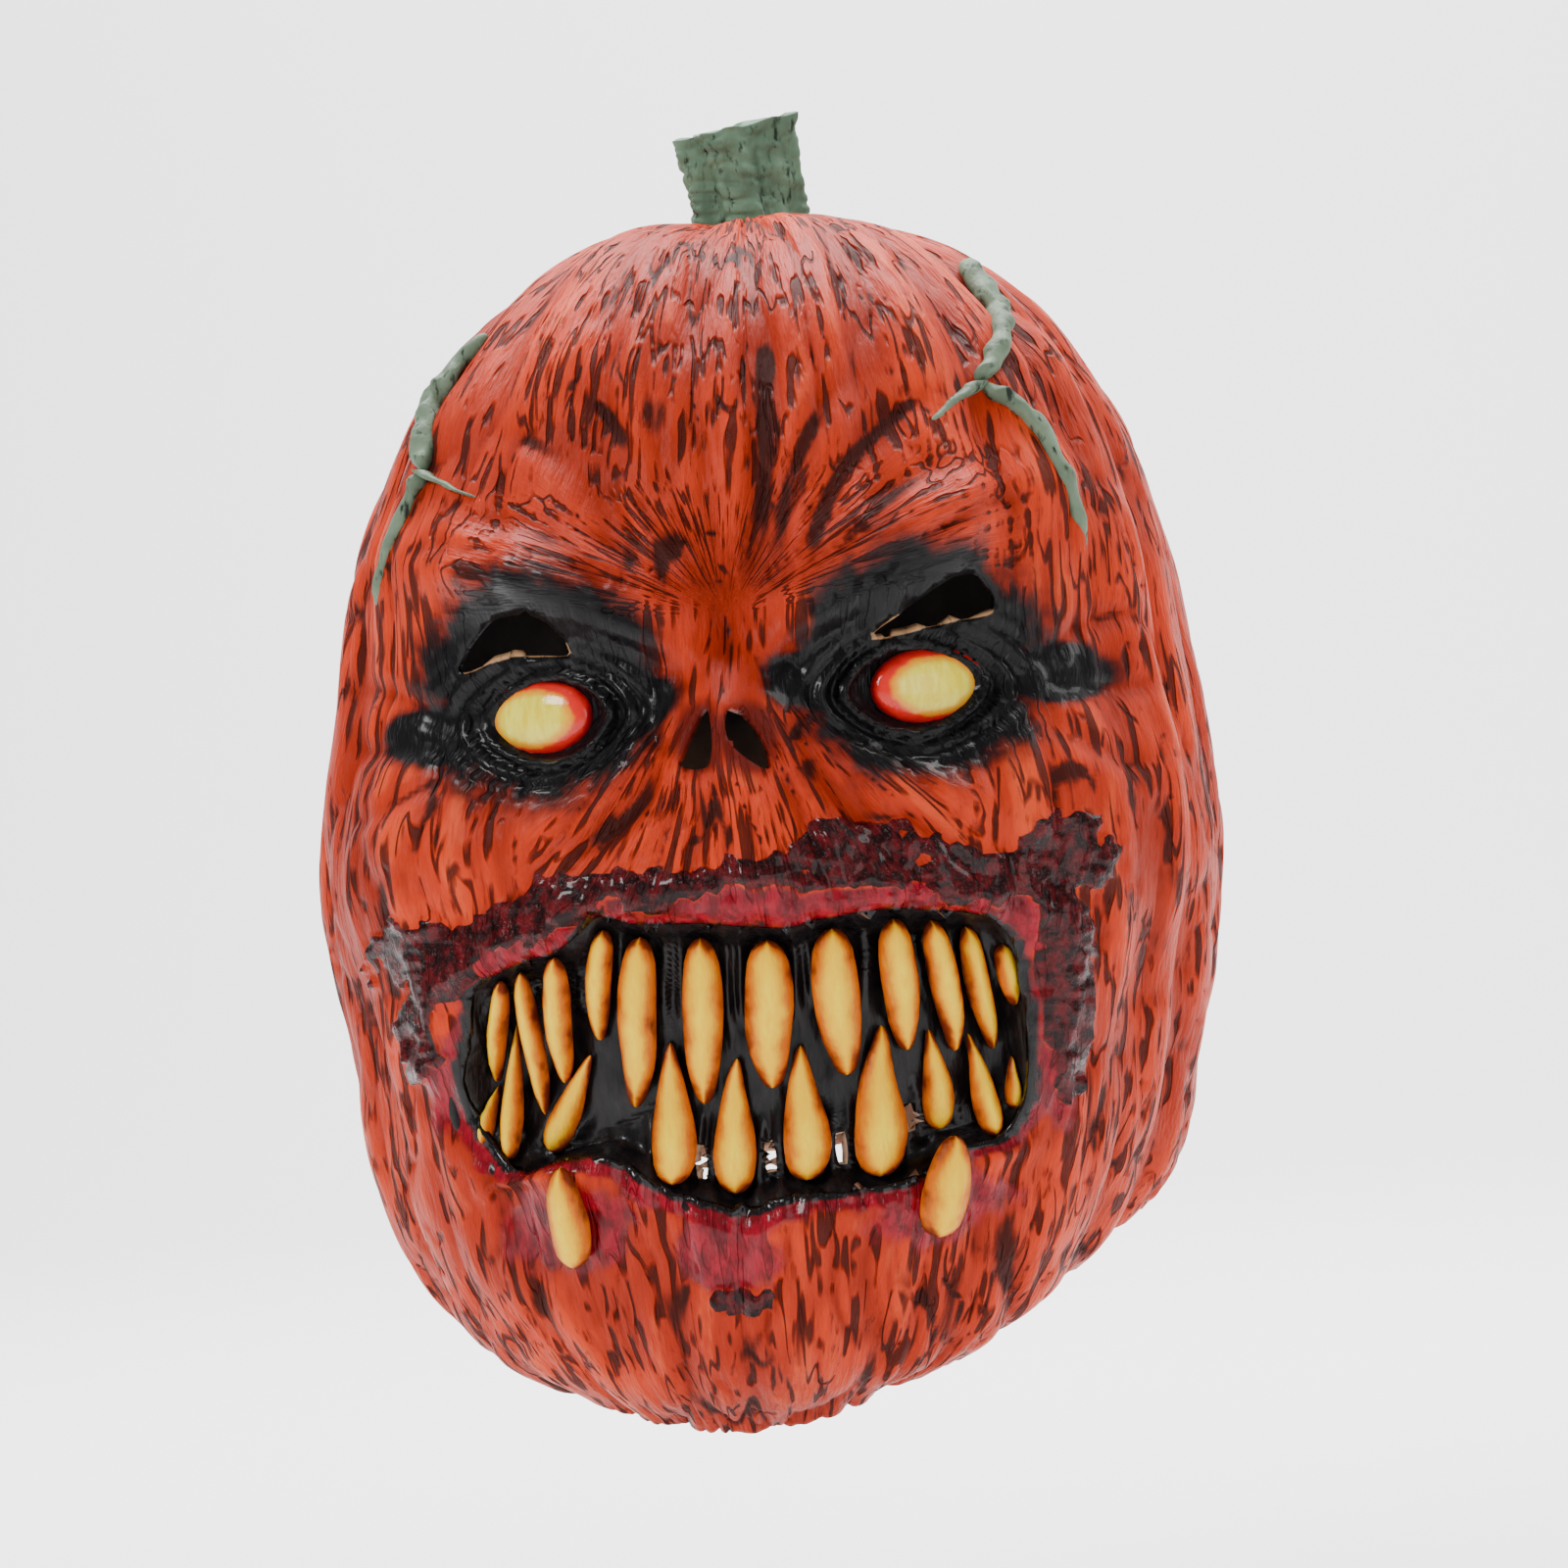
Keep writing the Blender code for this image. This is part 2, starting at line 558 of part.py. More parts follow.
def make_tooth(name, tooth, surface, raise_by, block, parts, material):
    """One tooth, standing on the gums or on the lip and trimmed to them behind."""
    root = surface(tooth.root_across * MASK_WIDTH / 2, tooth.root_up * MASK_HEIGHT)
    tip = surface(tooth.tip_across * MASK_WIDTH / 2, tooth.tip_up * MASK_HEIGHT)
    _, facing = on_face((tooth.root_across + tooth.tip_across) * MASK_WIDTH / 4,
                        (tooth.root_up + tooth.tip_up) * MASK_HEIGHT / 2)
    thick = TOOTH_THICKNESS * (0.4 + 0.6 * tooth.wide)
    lift = facing * thick * raise_by
    made = egg(name, root + lift, tip + lift, TOOTH_WIDTH * tooth.wide, thick, facing, parts, material)
    cut(made, block)
    return made


def make_teeth(parts, lip_trim, gum_trim):
    """Both rows of teeth in the gums, and the two short teeth on the lower lip."""
    amber = paint("amber_tooth", (0.850, 0.480, 0.040), 0.35)
    for number, tooth in enumerate(UPPER_TEETH, 1):
        make_tooth(f"upper_tooth_{number:02d}", tooth, on_gums, TOOTH_RAISED, gum_trim, parts, amber)
    for number, tooth in enumerate(LOWER_TEETH, 1):
        make_tooth(f"lower_tooth_{number:02d}", tooth, on_gums, TOOTH_RAISED, gum_trim, parts, amber)
    for side, tooth in zip(("right", "left"), LIP_TEETH):
        make_tooth(f"lip_tooth_{side}", tooth, on_lip, LIP_TOOTH_RAISED, lip_trim, parts, amber)


def make_eyes(parts, skin_trim):
    """The two painted eyeballs, set in their sockets."""
    yellow = paint("yellow_eye", (0.850, 0.560, 0.060), 0.15)
    for name, spot in EYES:
        place, facing = on_face(spot.across * MASK_WIDTH / 2, spot.up * MASK_HEIGHT)
        mesh = bpy.data.meshes.new(name)
        ball = bmesh.new()
        bmesh.ops.create_uvsphere(ball, u_segments=14, v_segments=8, radius=0.5)
        bmesh.ops.scale(ball, verts=ball.verts, vec=(EYE_WIDTH, EYE_THICKNESS, EYE_HEIGHT))
        ball.to_mesh(mesh)
        ball.free()
        mesh.shade_smooth()
        eye = new_object(name, mesh, parts, yellow)
        eye.rotation_euler.z = math.atan2(facing[0], -facing[1])
        eye.location = place + facing * (EYE_PROUD - EYE_THICKNESS / 2 + GAP)
        cut(eye, skin_trim)


def stem_place(around_share, up_share):
    """The stem's fluted side, flaring at its cut top."""
    angle = 2 * math.pi * around_share
    flute = 1 + STEM_FLUTE_DEPTH * np.cos(STEM_FLUTES * angle + 0.6)
    flare = 1 + STEM_FOOT_FLARE * (1 - up_share) ** 3 + STEM_TOP_FLARE * up_share ** 3
    out = STEM_WIDTH / 2 / (1 + STEM_FLUTE_DEPTH) * flute * flare
    foot = STEM_FOOT.across * MASK_WIDTH / 2
    across = foot + out * np.cos(angle) + STEM_LEAN * up_share
    top = STEM_HEIGHT * (1 + STEM_TOP_SLANT * np.sin(angle + 0.9) * up_share)
    up = STEM_FOOT.up * MASK_HEIGHT - HEAD_SEAT_UP - STEM_SUNK + up_share * (top + STEM_SUNK)
    return np.stack([across, out * np.sin(angle) * STEM_FLATNESS, up], -1)


def make_stem(parts, skin_trim):
    """The cut stem on the crown."""
    green = paint("grey_green_stem", (0.130, 0.230, 0.150), 0.60)
    stem = placed_grid("stem", 20, 6, stem_place, parts, green)
    body = bmesh.new()
    body.from_mesh(stem.data)
    bmesh.ops.holes_fill(body, edges=body.edges, sides=0)
    bmesh.ops.recalc_face_normals(body, faces=body.faces)
    body.to_mesh(stem.data)
    body.free()
    cut(stem, skin_trim)


def vine_mesh(name, routes):
    """The vine's branches as one mesh of flattened tubes, thinner towards their ends."""
    curve = bpy.data.curves.new(name, "CURVE")
    curve.dimensions = "3D"
    curve.bevel_depth = VINE_WIDTH / 2
    curve.bevel_resolution = 1
    curve.use_fill_caps = True
    for branch, bends in enumerate(routes):
        turns, rows = np.array(bends).T
        finer = np.linspace(0, len(bends) - 1, 2 * len(bends) - 1)
        places = skin(np.radians(np.interp(finer, range(len(bends)), turns)),
                      np.interp(finer, range(len(bends)), rows))
        spline = curve.splines.new("POLY")
        spline.points.add(len(places) - 1)
        for number, (point, place) in enumerate(zip(spline.points, places)):
            point.co = (*place, 1.0)
            share = number / (len(places) - 1)
            point.radius = 0.8 - 0.2 * share if branch == 0 else 0.6 - 0.35 * share
    return curve


def make_vines(parts, skin_trim):
    """The raised vines on the forehead."""
    green = paint("grey_green_vine", (0.190, 0.230, 0.170), 0.60)
    for name, routes in VINES.items():
        curve = vine_mesh(name + "_route", routes)
        drawn = bpy.data.objects.new(name + "_route", curve)
        parts.objects.link(drawn)
        drawn_mesh = bpy.data.meshes.new_from_object(drawn.evaluated_get(bpy.context.evaluated_depsgraph_get()))
        bpy.data.objects.remove(drawn)
        body = bmesh.new()
        body.from_mesh(drawn_mesh)
        bmesh.ops.remove_doubles(body, verts=body.verts, dist=GAP / 10)
        body.to_mesh(drawn_mesh)
        body.free()
        vine = new_object(name, drawn_mesh, parts, green)
        cut(vine, skin_trim, overlapping=True)


def main():
    """Build the whole mask."""
    clear_scene()
    parts = bpy.data.collections.new("pumpkin_mask")
    cutters = bpy.data.collections.new("cutters")
    bpy.context.scene.collection.children.link(parts)
    bpy.context.scene.collection.children.link(cutters)
    make_shell(parts, cutters)
    make_gums(parts, cutters)
    skin_trim = skin_block("skin_trim", 0.8 * EYE_THICKNESS, cutters)
    lip_trim = skin_block("lip_trim", 0.5 * TOOTH_THICKNESS, cutters)
    gum_trim = gum_block(cutters)
    make_teeth(parts, lip_trim, gum_trim)
    make_eyes(parts, skin_trim)
    make_stem(parts, skin_trim)
    make_vines(parts, skin_trim)


main()
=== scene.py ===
"""The finished full-head pumpkin mask: painted latex skin, torn mouth, gums, teeth, eyes, stem and vines.

Metres, +Z up, the face towards -Y. The origin is inside the crown, as in the frame.
"""
import math
from collections import namedtuple

import bmesh
import bpy
import numpy as np
from mathutils import Matrix, Vector, noise


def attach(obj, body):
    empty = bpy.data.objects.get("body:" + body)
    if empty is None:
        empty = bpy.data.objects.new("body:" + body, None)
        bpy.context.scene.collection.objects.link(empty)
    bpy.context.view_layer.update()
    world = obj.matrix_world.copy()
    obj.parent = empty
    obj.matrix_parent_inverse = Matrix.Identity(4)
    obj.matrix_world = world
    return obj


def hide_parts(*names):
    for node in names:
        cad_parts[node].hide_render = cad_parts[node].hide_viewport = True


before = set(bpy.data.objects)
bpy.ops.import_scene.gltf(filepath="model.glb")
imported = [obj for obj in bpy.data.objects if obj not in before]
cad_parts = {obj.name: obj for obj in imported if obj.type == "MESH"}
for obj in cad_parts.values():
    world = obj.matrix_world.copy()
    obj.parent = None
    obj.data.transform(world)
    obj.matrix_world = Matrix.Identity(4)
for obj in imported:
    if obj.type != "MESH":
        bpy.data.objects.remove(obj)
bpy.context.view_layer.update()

# Overall sizes of the shell
MASK_HEIGHT = 0.336
MASK_WIDTH = 0.246
FACE_DEPTH = 0.124
BACK_DEPTH = 0.138
WALL = 0.0020
GAP = 0.0003

# How the shell leans to one side, and how square its plan is
CROWN_LEAN = 0.0065
JAW_LEAN = -0.0085
JAW_LEAN_ONSET = 1.7
SQUARENESS = 2.2
CHEEK_FULLNESS = 1.25

# Depths and heights of what is moulded into the shell
RIB_GROOVE = 0.0055
GROOVE_WIDTH = 0.0075
FACE_RELIEF = 0.012
LIP_HEIGHT = 0.0035
LIP_WIDTH = 0.0120
HEM_FLAP = 0.007
HEM_FLAP_TURN = -49
HEM_FLAP_SPREAD = 20

# The mouth and what stands in it
GUM_WALL = 0.0020
GUM_CLEARANCE = 0.0016
GUM_MARGIN = 0.006
MOUTH_HOLLOW = 0.0095
CORNER_HOLLOW = 0.0060
AIR_SLOT_WIDTH = 0.0030
AIR_SLOT_HEIGHT = 0.0120
TOOTH_WIDTH = 0.0145
TOOTH_THICKNESS = 0.0110
TOOTH_RAISED = 0.22
LIP_TOOTH_RAISED = 0.45

# The eyes
EYE_WIDTH = 0.0325
EYE_HEIGHT = 0.0205
EYE_THICKNESS = 0.0110
EYE_PROUD = 0.0050

# The stem and the vines
STEM_WIDTH = 0.0310
STEM_HEIGHT = 0.0330
STEM_SUNK = 0.0020
STEM_LEAN = -0.0025
STEM_FLATNESS = 0.86
STEM_FLUTES = 5
STEM_FLUTE_DEPTH = 0.10
STEM_FOOT_FLARE = 0.16
STEM_TOP_FLARE = 0.20
STEM_TOP_SLANT = 0.10
VINE_WIDTH = 0.0085

# One section of the shell from crown to hem: how far out and how high it lies at the front, side and back.
# Out is a share of the face's depth, half the width and the back's depth, up is a share of the height.
Section = namedtuple("Section", "front_out front_up side_out side_up back_out back_up")
SECTIONS = (
    Section(0.000, 0.978, 0.000, 0.978, 0.000, 0.978),
    Section(0.180, 0.994, 0.160, 0.994, 0.175, 0.994),
    Section(0.390, 0.988, 0.350, 0.985, 0.380, 0.990),
    Section(0.585, 0.958, 0.515, 0.948, 0.580, 0.958),
    Section(0.755, 0.904, 0.680, 0.888, 0.755, 0.905),
    Section(0.875, 0.832, 0.810, 0.818, 0.878, 0.835),
    Section(0.948, 0.750, 0.890, 0.735, 0.950, 0.755),
    Section(0.985, 0.662, 0.937, 0.647, 0.990, 0.672),
    Section(1.000, 0.570, 0.972, 0.558, 1.000, 0.588),
    Section(1.000, 0.477, 1.000, 0.470, 0.997, 0.505),
    Section(0.995, 0.382, 0.975, 0.393, 0.978, 0.430),
    Section(0.970, 0.290, 0.950, 0.325, 0.953, 0.361),
    Section(0.900, 0.200, 0.918, 0.268, 0.922, 0.298),
    Section(0.800, 0.122, 0.890, 0.234, 0.893, 0.256),
    Section(0.680, 0.062, 0.862, 0.212, 0.875, 0.232),
    Section(0.530, 0.030, 0.835, 0.197, 0.865, 0.215),
)
LAST_SECTION = len(SECTIONS) - 1

# A groove between two ribs: its turn in degrees from the face's middle, to the wearer's left, at its top
# and at its foot, the sections it runs between, and its depth as a share of RIB_GROOVE.
Groove = namedtuple("Groove", "top_turn foot_turn first last depth")
GROOVES = (
    Groove(-45, -28, 1.5, 6.4, 0.55),
    Groove(-22, -12, 1.5, 6.6, 0.55),
    Groove(-4, 0, 1.5, 7.1, 0.70),
    Groove(9, 5, 1.5, 7.1, 0.70),
    Groove(30, 20, 1.5, 6.6, 0.65),
    Groove(42, 38, 1.5, 6.4, 0.55),
    Groove(57, 56, 1.5, 14.0, 0.60),
    Groove(72, 69, 1.5, 14.5, 0.75),
    Groove(90, 88, 1.5, 15.0, 0.95),
    Groove(113, 112, 1.5, 15.0, 1.00),
    Groove(138, 138, 1.5, 15.0, 1.00),
    Groove(163, 163, 1.5, 15.0, 1.00),
    Groove(-172, -172, 1.5, 15.0, 1.00),
    Groove(-147, -147, 1.5, 15.0, 1.00),
    Groove(-121, -120, 1.5, 15.0, 1.00),
    Groove(-96, -94, 1.5, 15.0, 0.95),
    Groove(-76, -72, 1.5, 14.5, 0.75),
    Groove(-60, -56, 1.5, 14.0, 0.55),
)

# A soft rise or hollow of the face. Across and wide are shares of half the width, up and tall are shares
# of the height, tilt is in degrees, and height is a share of FACE_RELIEF.
Bump = namedtuple("Bump", "across up wide tall tilt height")
BUMPS = (
    Bump(-0.400, 0.605, 0.260, 0.064, 0, -1.20),
    Bump(0.460, 0.605, 0.260, 0.064, 0, -1.20),
    Bump(-0.330, 0.708, 0.300, 0.030, -12, 0.75),
    Bump(0.400, 0.722, 0.300, 0.030, 16, 0.75),
    Bump(0.040, 0.660, 0.055, 0.035, 0, -0.40),
    Bump(0.033, 0.608, 0.070, 0.034, 0, 0.80),
    Bump(0.030, 0.560, 0.115, 0.028, 0, 1.00),
    Bump(0.000, 0.490, 0.330, 0.050, 0, 0.45),
    Bump(-0.720, 0.530, 0.200, 0.060, 0, 0.40),
    Bump(0.770, 0.520, 0.200, 0.060, 0, 0.40),
    Bump(-0.020, 0.125, 0.280, 0.045, 0, 0.50),
)

# The edge of the mouth, clockwise from the wearer's right corner, as seen from in front.
Spot = namedtuple("Spot", "across up")
MOUTH_EDGE = (
    Spot(-0.569, 0.396), Spot(-0.455, 0.415), Spot(-0.382, 0.420), Spot(-0.317, 0.434),
    Spot(-0.268, 0.446), Spot(-0.195, 0.438), Spot(-0.049, 0.434), Spot(0.114, 0.426),
    Spot(0.187, 0.430), Spot(0.333, 0.434), Spot(0.423, 0.430), Spot(0.496, 0.426),
    Spot(0.561, 0.414), Spot(0.593, 0.390), Spot(0.602, 0.333), Spot(0.585, 0.280),
    Spot(0.537, 0.250), Spot(0.447, 0.244), Spot(0.382, 0.229), Spot(0.228, 0.220),
    Spot(0.065, 0.220), Spot(-0.016, 0.210), Spot(-0.089, 0.217), Spot(-0.179, 0.229),
    Spot(-0.250, 0.248), Spot(-0.330, 0.262), Spot(-0.423, 0.260), Spot(-0.504, 0.252),
    Spot(-0.569, 0.265), Spot(-0.610, 0.292), Spot(-0.626, 0.321), Spot(-0.602, 0.360),
)
MOUTH_MIDDLE = Spot(0.000, 0.330)

# The cut edges of the vision slits and the nostrils.
RIGHT_SLIT = (
    Spot(-0.548, 0.641), Spot(-0.503, 0.667), Spot(-0.455, 0.678), Spot(-0.375, 0.679),
    Spot(-0.325, 0.670), Spot(-0.295, 0.648), Spot(-0.420, 0.650),
)
LEFT_SLIT = (
    Spot(0.335, 0.640), Spot(0.410, 0.660), Spot(0.490, 0.678), Spot(0.530, 0.683),
    Spot(0.570, 0.680), Spot(0.588, 0.655), Spot(0.497, 0.649),
)
RIGHT_NOSTRIL = (
    Spot(-0.065, 0.556), Spot(-0.042, 0.580), Spot(-0.010, 0.597), Spot(0.008, 0.592),
    Spot(0.013, 0.570), Spot(-0.004, 0.552),
)
LEFT_NOSTRIL = (
    Spot(0.048, 0.593), Spot(0.070, 0.594), Spot(0.104, 0.578), Spot(0.127, 0.556),
    Spot(0.116, 0.547), Spot(0.070, 0.560), Spot(0.045, 0.575),
)

# A tooth from its root in the gum to its tip, with its width as a share of TOOTH_WIDTH.
Tooth = namedtuple("Tooth", "root_across root_up tip_across tip_up wide")
UPPER_TEETH = (
    Tooth(-0.500, 0.404, -0.538, 0.324, 0.36),
    Tooth(-0.452, 0.409, -0.434, 0.296, 0.40),
    Tooth(-0.368, 0.419, -0.386, 0.321, 0.52),
    Tooth(-0.262, 0.437, -0.302, 0.352, 0.48),
    Tooth(-0.186, 0.429, -0.236, 0.298, 0.72),
    Tooth(-0.060, 0.425, -0.090, 0.297, 0.74),
    Tooth(0.072, 0.420, 0.048, 0.306, 0.88),
    Tooth(0.212, 0.425, 0.204, 0.311, 0.85),
    Tooth(0.330, 0.428, 0.332, 0.326, 0.68),
    Tooth(0.406, 0.424, 0.430, 0.322, 0.56),
    Tooth(0.468, 0.416, 0.504, 0.320, 0.46),
    Tooth(0.540, 0.400, 0.556, 0.352, 0.40),
)
LOWER_TEETH = (
    Tooth(-0.576, 0.274, -0.540, 0.318, 0.25),
    Tooth(-0.520, 0.262, -0.478, 0.368, 0.40),
    Tooth(-0.438, 0.268, -0.320, 0.340, 0.56),
    Tooth(-0.168, 0.236, -0.146, 0.345, 0.80),
    Tooth(-0.046, 0.226, -0.016, 0.330, 0.76),
    Tooth(0.108, 0.232, 0.122, 0.336, 0.84),
    Tooth(0.252, 0.230, 0.279, 0.346, 0.94),
    Tooth(0.384, 0.262, 0.378, 0.340, 0.58),
    Tooth(0.494, 0.252, 0.452, 0.332, 0.48),
    Tooth(0.536, 0.272, 0.540, 0.312, 0.28),
)
LIP_TEETH = (
    Tooth(-0.384, 0.183, -0.384, 0.262, 0.76),
    Tooth(0.356, 0.185, 0.414, 0.262, 0.88),
)
AIR_SLOTS = (Spot(-0.112, 0.252), Spot(0.034, 0.250), Spot(0.184, 0.254), Spot(0.326, 0.268))

# The middles of the two eyes and the stem's foot.
EYES = (("eye_right", Spot(-0.383, 0.601)), ("eye_left", Spot(0.441, 0.601)))
STEM_FOOT = Spot(0.070, 0.978)

# The vines' branches over the forehead, by turn in degrees and by section.
Bend = namedtuple("Bend", "turn row")
VINES = {
    "vine_left": (
        (Bend(61.5, 3.2), Bend(57.0, 3.9), Bend(47.0, 4.5), Bend(40.5, 4.9)),
        (Bend(40.5, 4.9), Bend(35.0, 5.1), Bend(29.5, 5.35)),
        (Bend(40.5, 4.9), Bend(47.0, 5.3), Bend(48.5, 5.7), Bend(50.0, 6.05), Bend(53.0, 6.5)),
    ),
    "vine_right": (
        (Bend(-48.5, 3.8), Bend(-52.5, 4.5), Bend(-50.0, 4.9), Bend(-47.0, 5.3)),
        (Bend(-47.0, 5.3), Bend(-41.0, 5.45), Bend(-34.0, 5.65)),
        (Bend(-47.0, 5.3), Bend(-48.5, 5.7), Bend(-50.5, 6.05), Bend(-53.0, 6.5)),
    ),
}

HEAD_SEAT_UP = SECTIONS[0].front_up * MASK_HEIGHT - WALL

# How finely the skin, its lining, the gums and the small pieces are divided
SKIN_COLUMNS = 290
SKIN_ROWS = 280
GUM_FINE_SPOKES = 200
GUM_FINE_RINGS = 52
TOOTH_SEGMENTS = 30
TOOTH_LEVELS = 24
EYE_SEGMENTS = 48
EYE_LEVELS = 32
STEM_COLUMNS = 120
STEM_ROWS = 90
VINE_COLUMNS = 20
VINE_ROWS = 110
LINING_SHARE = 0.58

# How near a cut edge a point is moved onto it, and how near two points are joined
EDGE_REACH = 0.0009
MERGE_REACH = 0.00001

# Heights and depths of the fine modelling
WRINKLE = 0.0019
CREASE = 0.0015
LID_FOLD = 0.0021
TORN = 0.0016
LIP_ROLL = 0.0030
GUM_RIDGE = 0.0034
VINE_RISE = 0.0032

# The drum that the wrinkles are drawn on, and how far they are drawn out along the ribs
DRUM = 0.110
DRAWN_OUT = 6.5
FAN_DRUM = 0.075

# The sizes of the skin's broad and narrow ropes, and how far they wander
BROAD_ROPE = 0.0135
NARROW_ROPE = 0.0066
ROPE_WANDER = 0.0030

# A stroke pressed into the skin from one place to another, bowed to one side by a share of its length.
# Places are shares of half the width and of the height; wide and deep are shares of CREASE_WIDTH and CREASE.
Stroke = namedtuple("Stroke", "across up to_across to_up bow wide deep")
CREASE_WIDTH = 0.0035
STROKES = (
    Stroke(-0.060, 0.900, -0.045, 0.700, -0.05, 1.3, 1.5),
    Stroke(0.150, 0.900, 0.105, 0.690, 0.04, 1.2, 1.3),
    Stroke(0.050, 0.700, 0.020, 0.620, 0.08, 0.8, 0.8),
    Stroke(-0.250, 0.860, -0.075, 0.680, 0.10, 1.1, 1.2),
    Stroke(-0.430, 0.830, -0.130, 0.690, 0.14, 1.2, 1.2),
    Stroke(-0.520, 0.760, -0.180, 0.685, 0.12, 1.0, 1.1),
    Stroke(0.330, 0.850, 0.155, 0.680, -0.08, 1.1, 1.2),
    Stroke(0.500, 0.830, 0.220, 0.690, -0.12, 1.2, 1.2),
    Stroke(0.580, 0.770, 0.260, 0.690, -0.12, 1.0, 1.1),
    Stroke(0.690, 0.740, 0.420, 0.700, -0.10, 0.9, 0.9),
    Stroke(-0.640, 0.740, -0.400, 0.700, 0.12, 0.9, 0.9),
    Stroke(-0.105, 0.640, -0.085, 0.560, -0.20, 0.9, 1.2),
    Stroke(0.165, 0.640, 0.145, 0.560, 0.20, 0.9, 1.2),
    Stroke(-0.110, 0.560, -0.330, 0.500, 0.15, 1.2, 1.2),
    Stroke(0.175, 0.560, 0.400, 0.495, -0.15, 1.2, 1.2),
    Stroke(-0.080, 0.545, -0.170, 0.480, 0.05, 0.8, 0.8),
    Stroke(0.135, 0.545, 0.210, 0.480, -0.05, 0.8, 0.8),
    Stroke(-0.030, 0.535, -0.060, 0.470, 0.00, 0.7, 0.7),
    Stroke(0.060, 0.535, 0.080, 0.470, 0.00, 0.7, 0.7),
    Stroke(-0.620, 0.600, -0.830, 0.640, -0.10, 0.9, 1.0),
    Stroke(-0.630, 0.590, -0.860, 0.590, 0.05, 0.9, 1.1),
    Stroke(-0.610, 0.570, -0.820, 0.530, 0.10, 0.9, 1.0),
    Stroke(0.700, 0.610, 0.880, 0.650, 0.10, 0.9, 1.0),
    Stroke(0.710, 0.595, 0.900, 0.590, -0.05, 0.9, 1.1),
    Stroke(0.690, 0.570, 0.870, 0.525, -0.10, 0.9, 1.0),
    Stroke(-0.700, 0.500, -0.760, 0.380, -0.10, 1.3, 1.1),
    Stroke(0.860, 0.500, 0.830, 0.330, 0.08, 1.3, 1.1),
    Stroke(-0.720, 0.330, -0.480, 0.120, 0.12, 1.3, 1.2),
    Stroke(0.740, 0.320, 0.480, 0.110, -0.12, 1.3, 1.2),
    Stroke(-0.560, 0.230, -0.330, 0.080, 0.10, 1.1, 1.0),
    Stroke(0.560, 0.220, 0.330, 0.080, -0.10, 1.1, 1.0),
    Stroke(-0.230, 0.190, -0.300, 0.090, -0.05, 1.0, 0.9),
    Stroke(0.160, 0.200, 0.220, 0.080, 0.05, 1.0, 0.9),
)

# A patch of raw flesh. Wide and tall are half sizes, as shares of half the width and of the height.
Patch = namedtuple("Patch", "across up wide tall tilt")
TORN_FLESH = (
    Patch(0.270, 0.478, 0.150, 0.028, -6),
    Patch(-0.120, 0.464, 0.120, 0.018, 6),
    Patch(-0.400, 0.452, 0.220, 0.020, 12),
    Patch(-0.660, 0.424, 0.150, 0.034, 0),
    Patch(0.520, 0.455, 0.130, 0.022, 0),
    Patch(0.665, 0.463, 0.095, 0.034, 0),
    Patch(0.652, 0.370, 0.050, 0.090, 0),
    Patch(-0.060, 0.150, 0.080, 0.010, 0),
    Patch(-0.690, 0.370, 0.060, 0.050, 0),
)
RAW_LIP = (
    Patch(-0.075, 0.186, 0.160, 0.054, 0),
    Patch(-0.400, 0.212, 0.200, 0.050, 0),
    Patch(0.370, 0.204, 0.200, 0.046, 0),
    Patch(0.630, 0.300, 0.050, 0.060, 0),
    Patch(-0.655, 0.330, 0.050, 0.060, 0),
)
# The airbrushed black round each eye.
SOCKET_BLACK = (
    Patch(-0.380, 0.624, 0.370, 0.114, -3),
    Patch(0.450, 0.620, 0.360, 0.118, 3),
    Patch(-0.190, 0.606, 0.170, 0.034, 8),
    Patch(0.240, 0.612, 0.170, 0.034, -8),
    Patch(-0.640, 0.596, 0.150, 0.032, 0),
    Patch(0.730, 0.604, 0.150, 0.032, 0),
)

# Ridges and folds of the face that are finer than the form's own, as shares of FACE_RELIEF.
FINE_BUMPS = (
    Bump(-0.210, 0.664, 0.200, 0.015, -24, 0.34),
    Bump(0.300, 0.664, 0.200, 0.015, 24, 0.34),
    Bump(-0.130, 0.640, 0.150, 0.010, -28, -0.26),
    Bump(0.215, 0.640, 0.150, 0.010, 28, -0.26),
    Bump(-0.062, 0.584, 0.130, 0.012, 64, 0.22),
    Bump(0.128, 0.584, 0.130, 0.012, -64, 0.22),
    Bump(0.030, 0.585, 0.110, 0.009, 90, 0.22),
    Bump(-0.120, 0.560, 0.150, 0.012, 52, -0.28),
    Bump(0.190, 0.560, 0.150, 0.012, -52, -0.28),
    Bump(-0.300, 0.540, 0.240, 0.018, 24, 0.30),
    Bump(0.370, 0.536, 0.240, 0.018, -24, 0.30),
    Bump(-0.760, 0.470, 0.150, 0.050, 70, 0.30),
    Bump(0.800, 0.440, 0.150, 0.050, -70, 0.30),
    Bump(-0.560, 0.180, 0.240, 0.026, -48, 0.30),
    Bump(0.540, 0.170, 0.240, 0.026, 48, 0.30),
)

# A tooth's half width along its length, from root to tip, as shares of its widest: the upper teeth taper
# slowly to a blunt tip, and the lower ones are drops.
TOOTH_STATIONS = (0.00, 0.02, 0.06, 0.14, 0.28, 0.45, 0.62, 0.76, 0.87, 0.94, 0.98, 1.00)
UPPER_GIRTHS = (0.00, 0.38, 0.62, 0.84, 0.97, 1.00, 0.93, 0.80, 0.62, 0.46, 0.30, 0.00)
LOWER_GIRTHS = (0.00, 0.44, 0.70, 0.92, 1.04, 0.94, 0.72, 0.52, 0.36, 0.25, 0.16, 0.00)

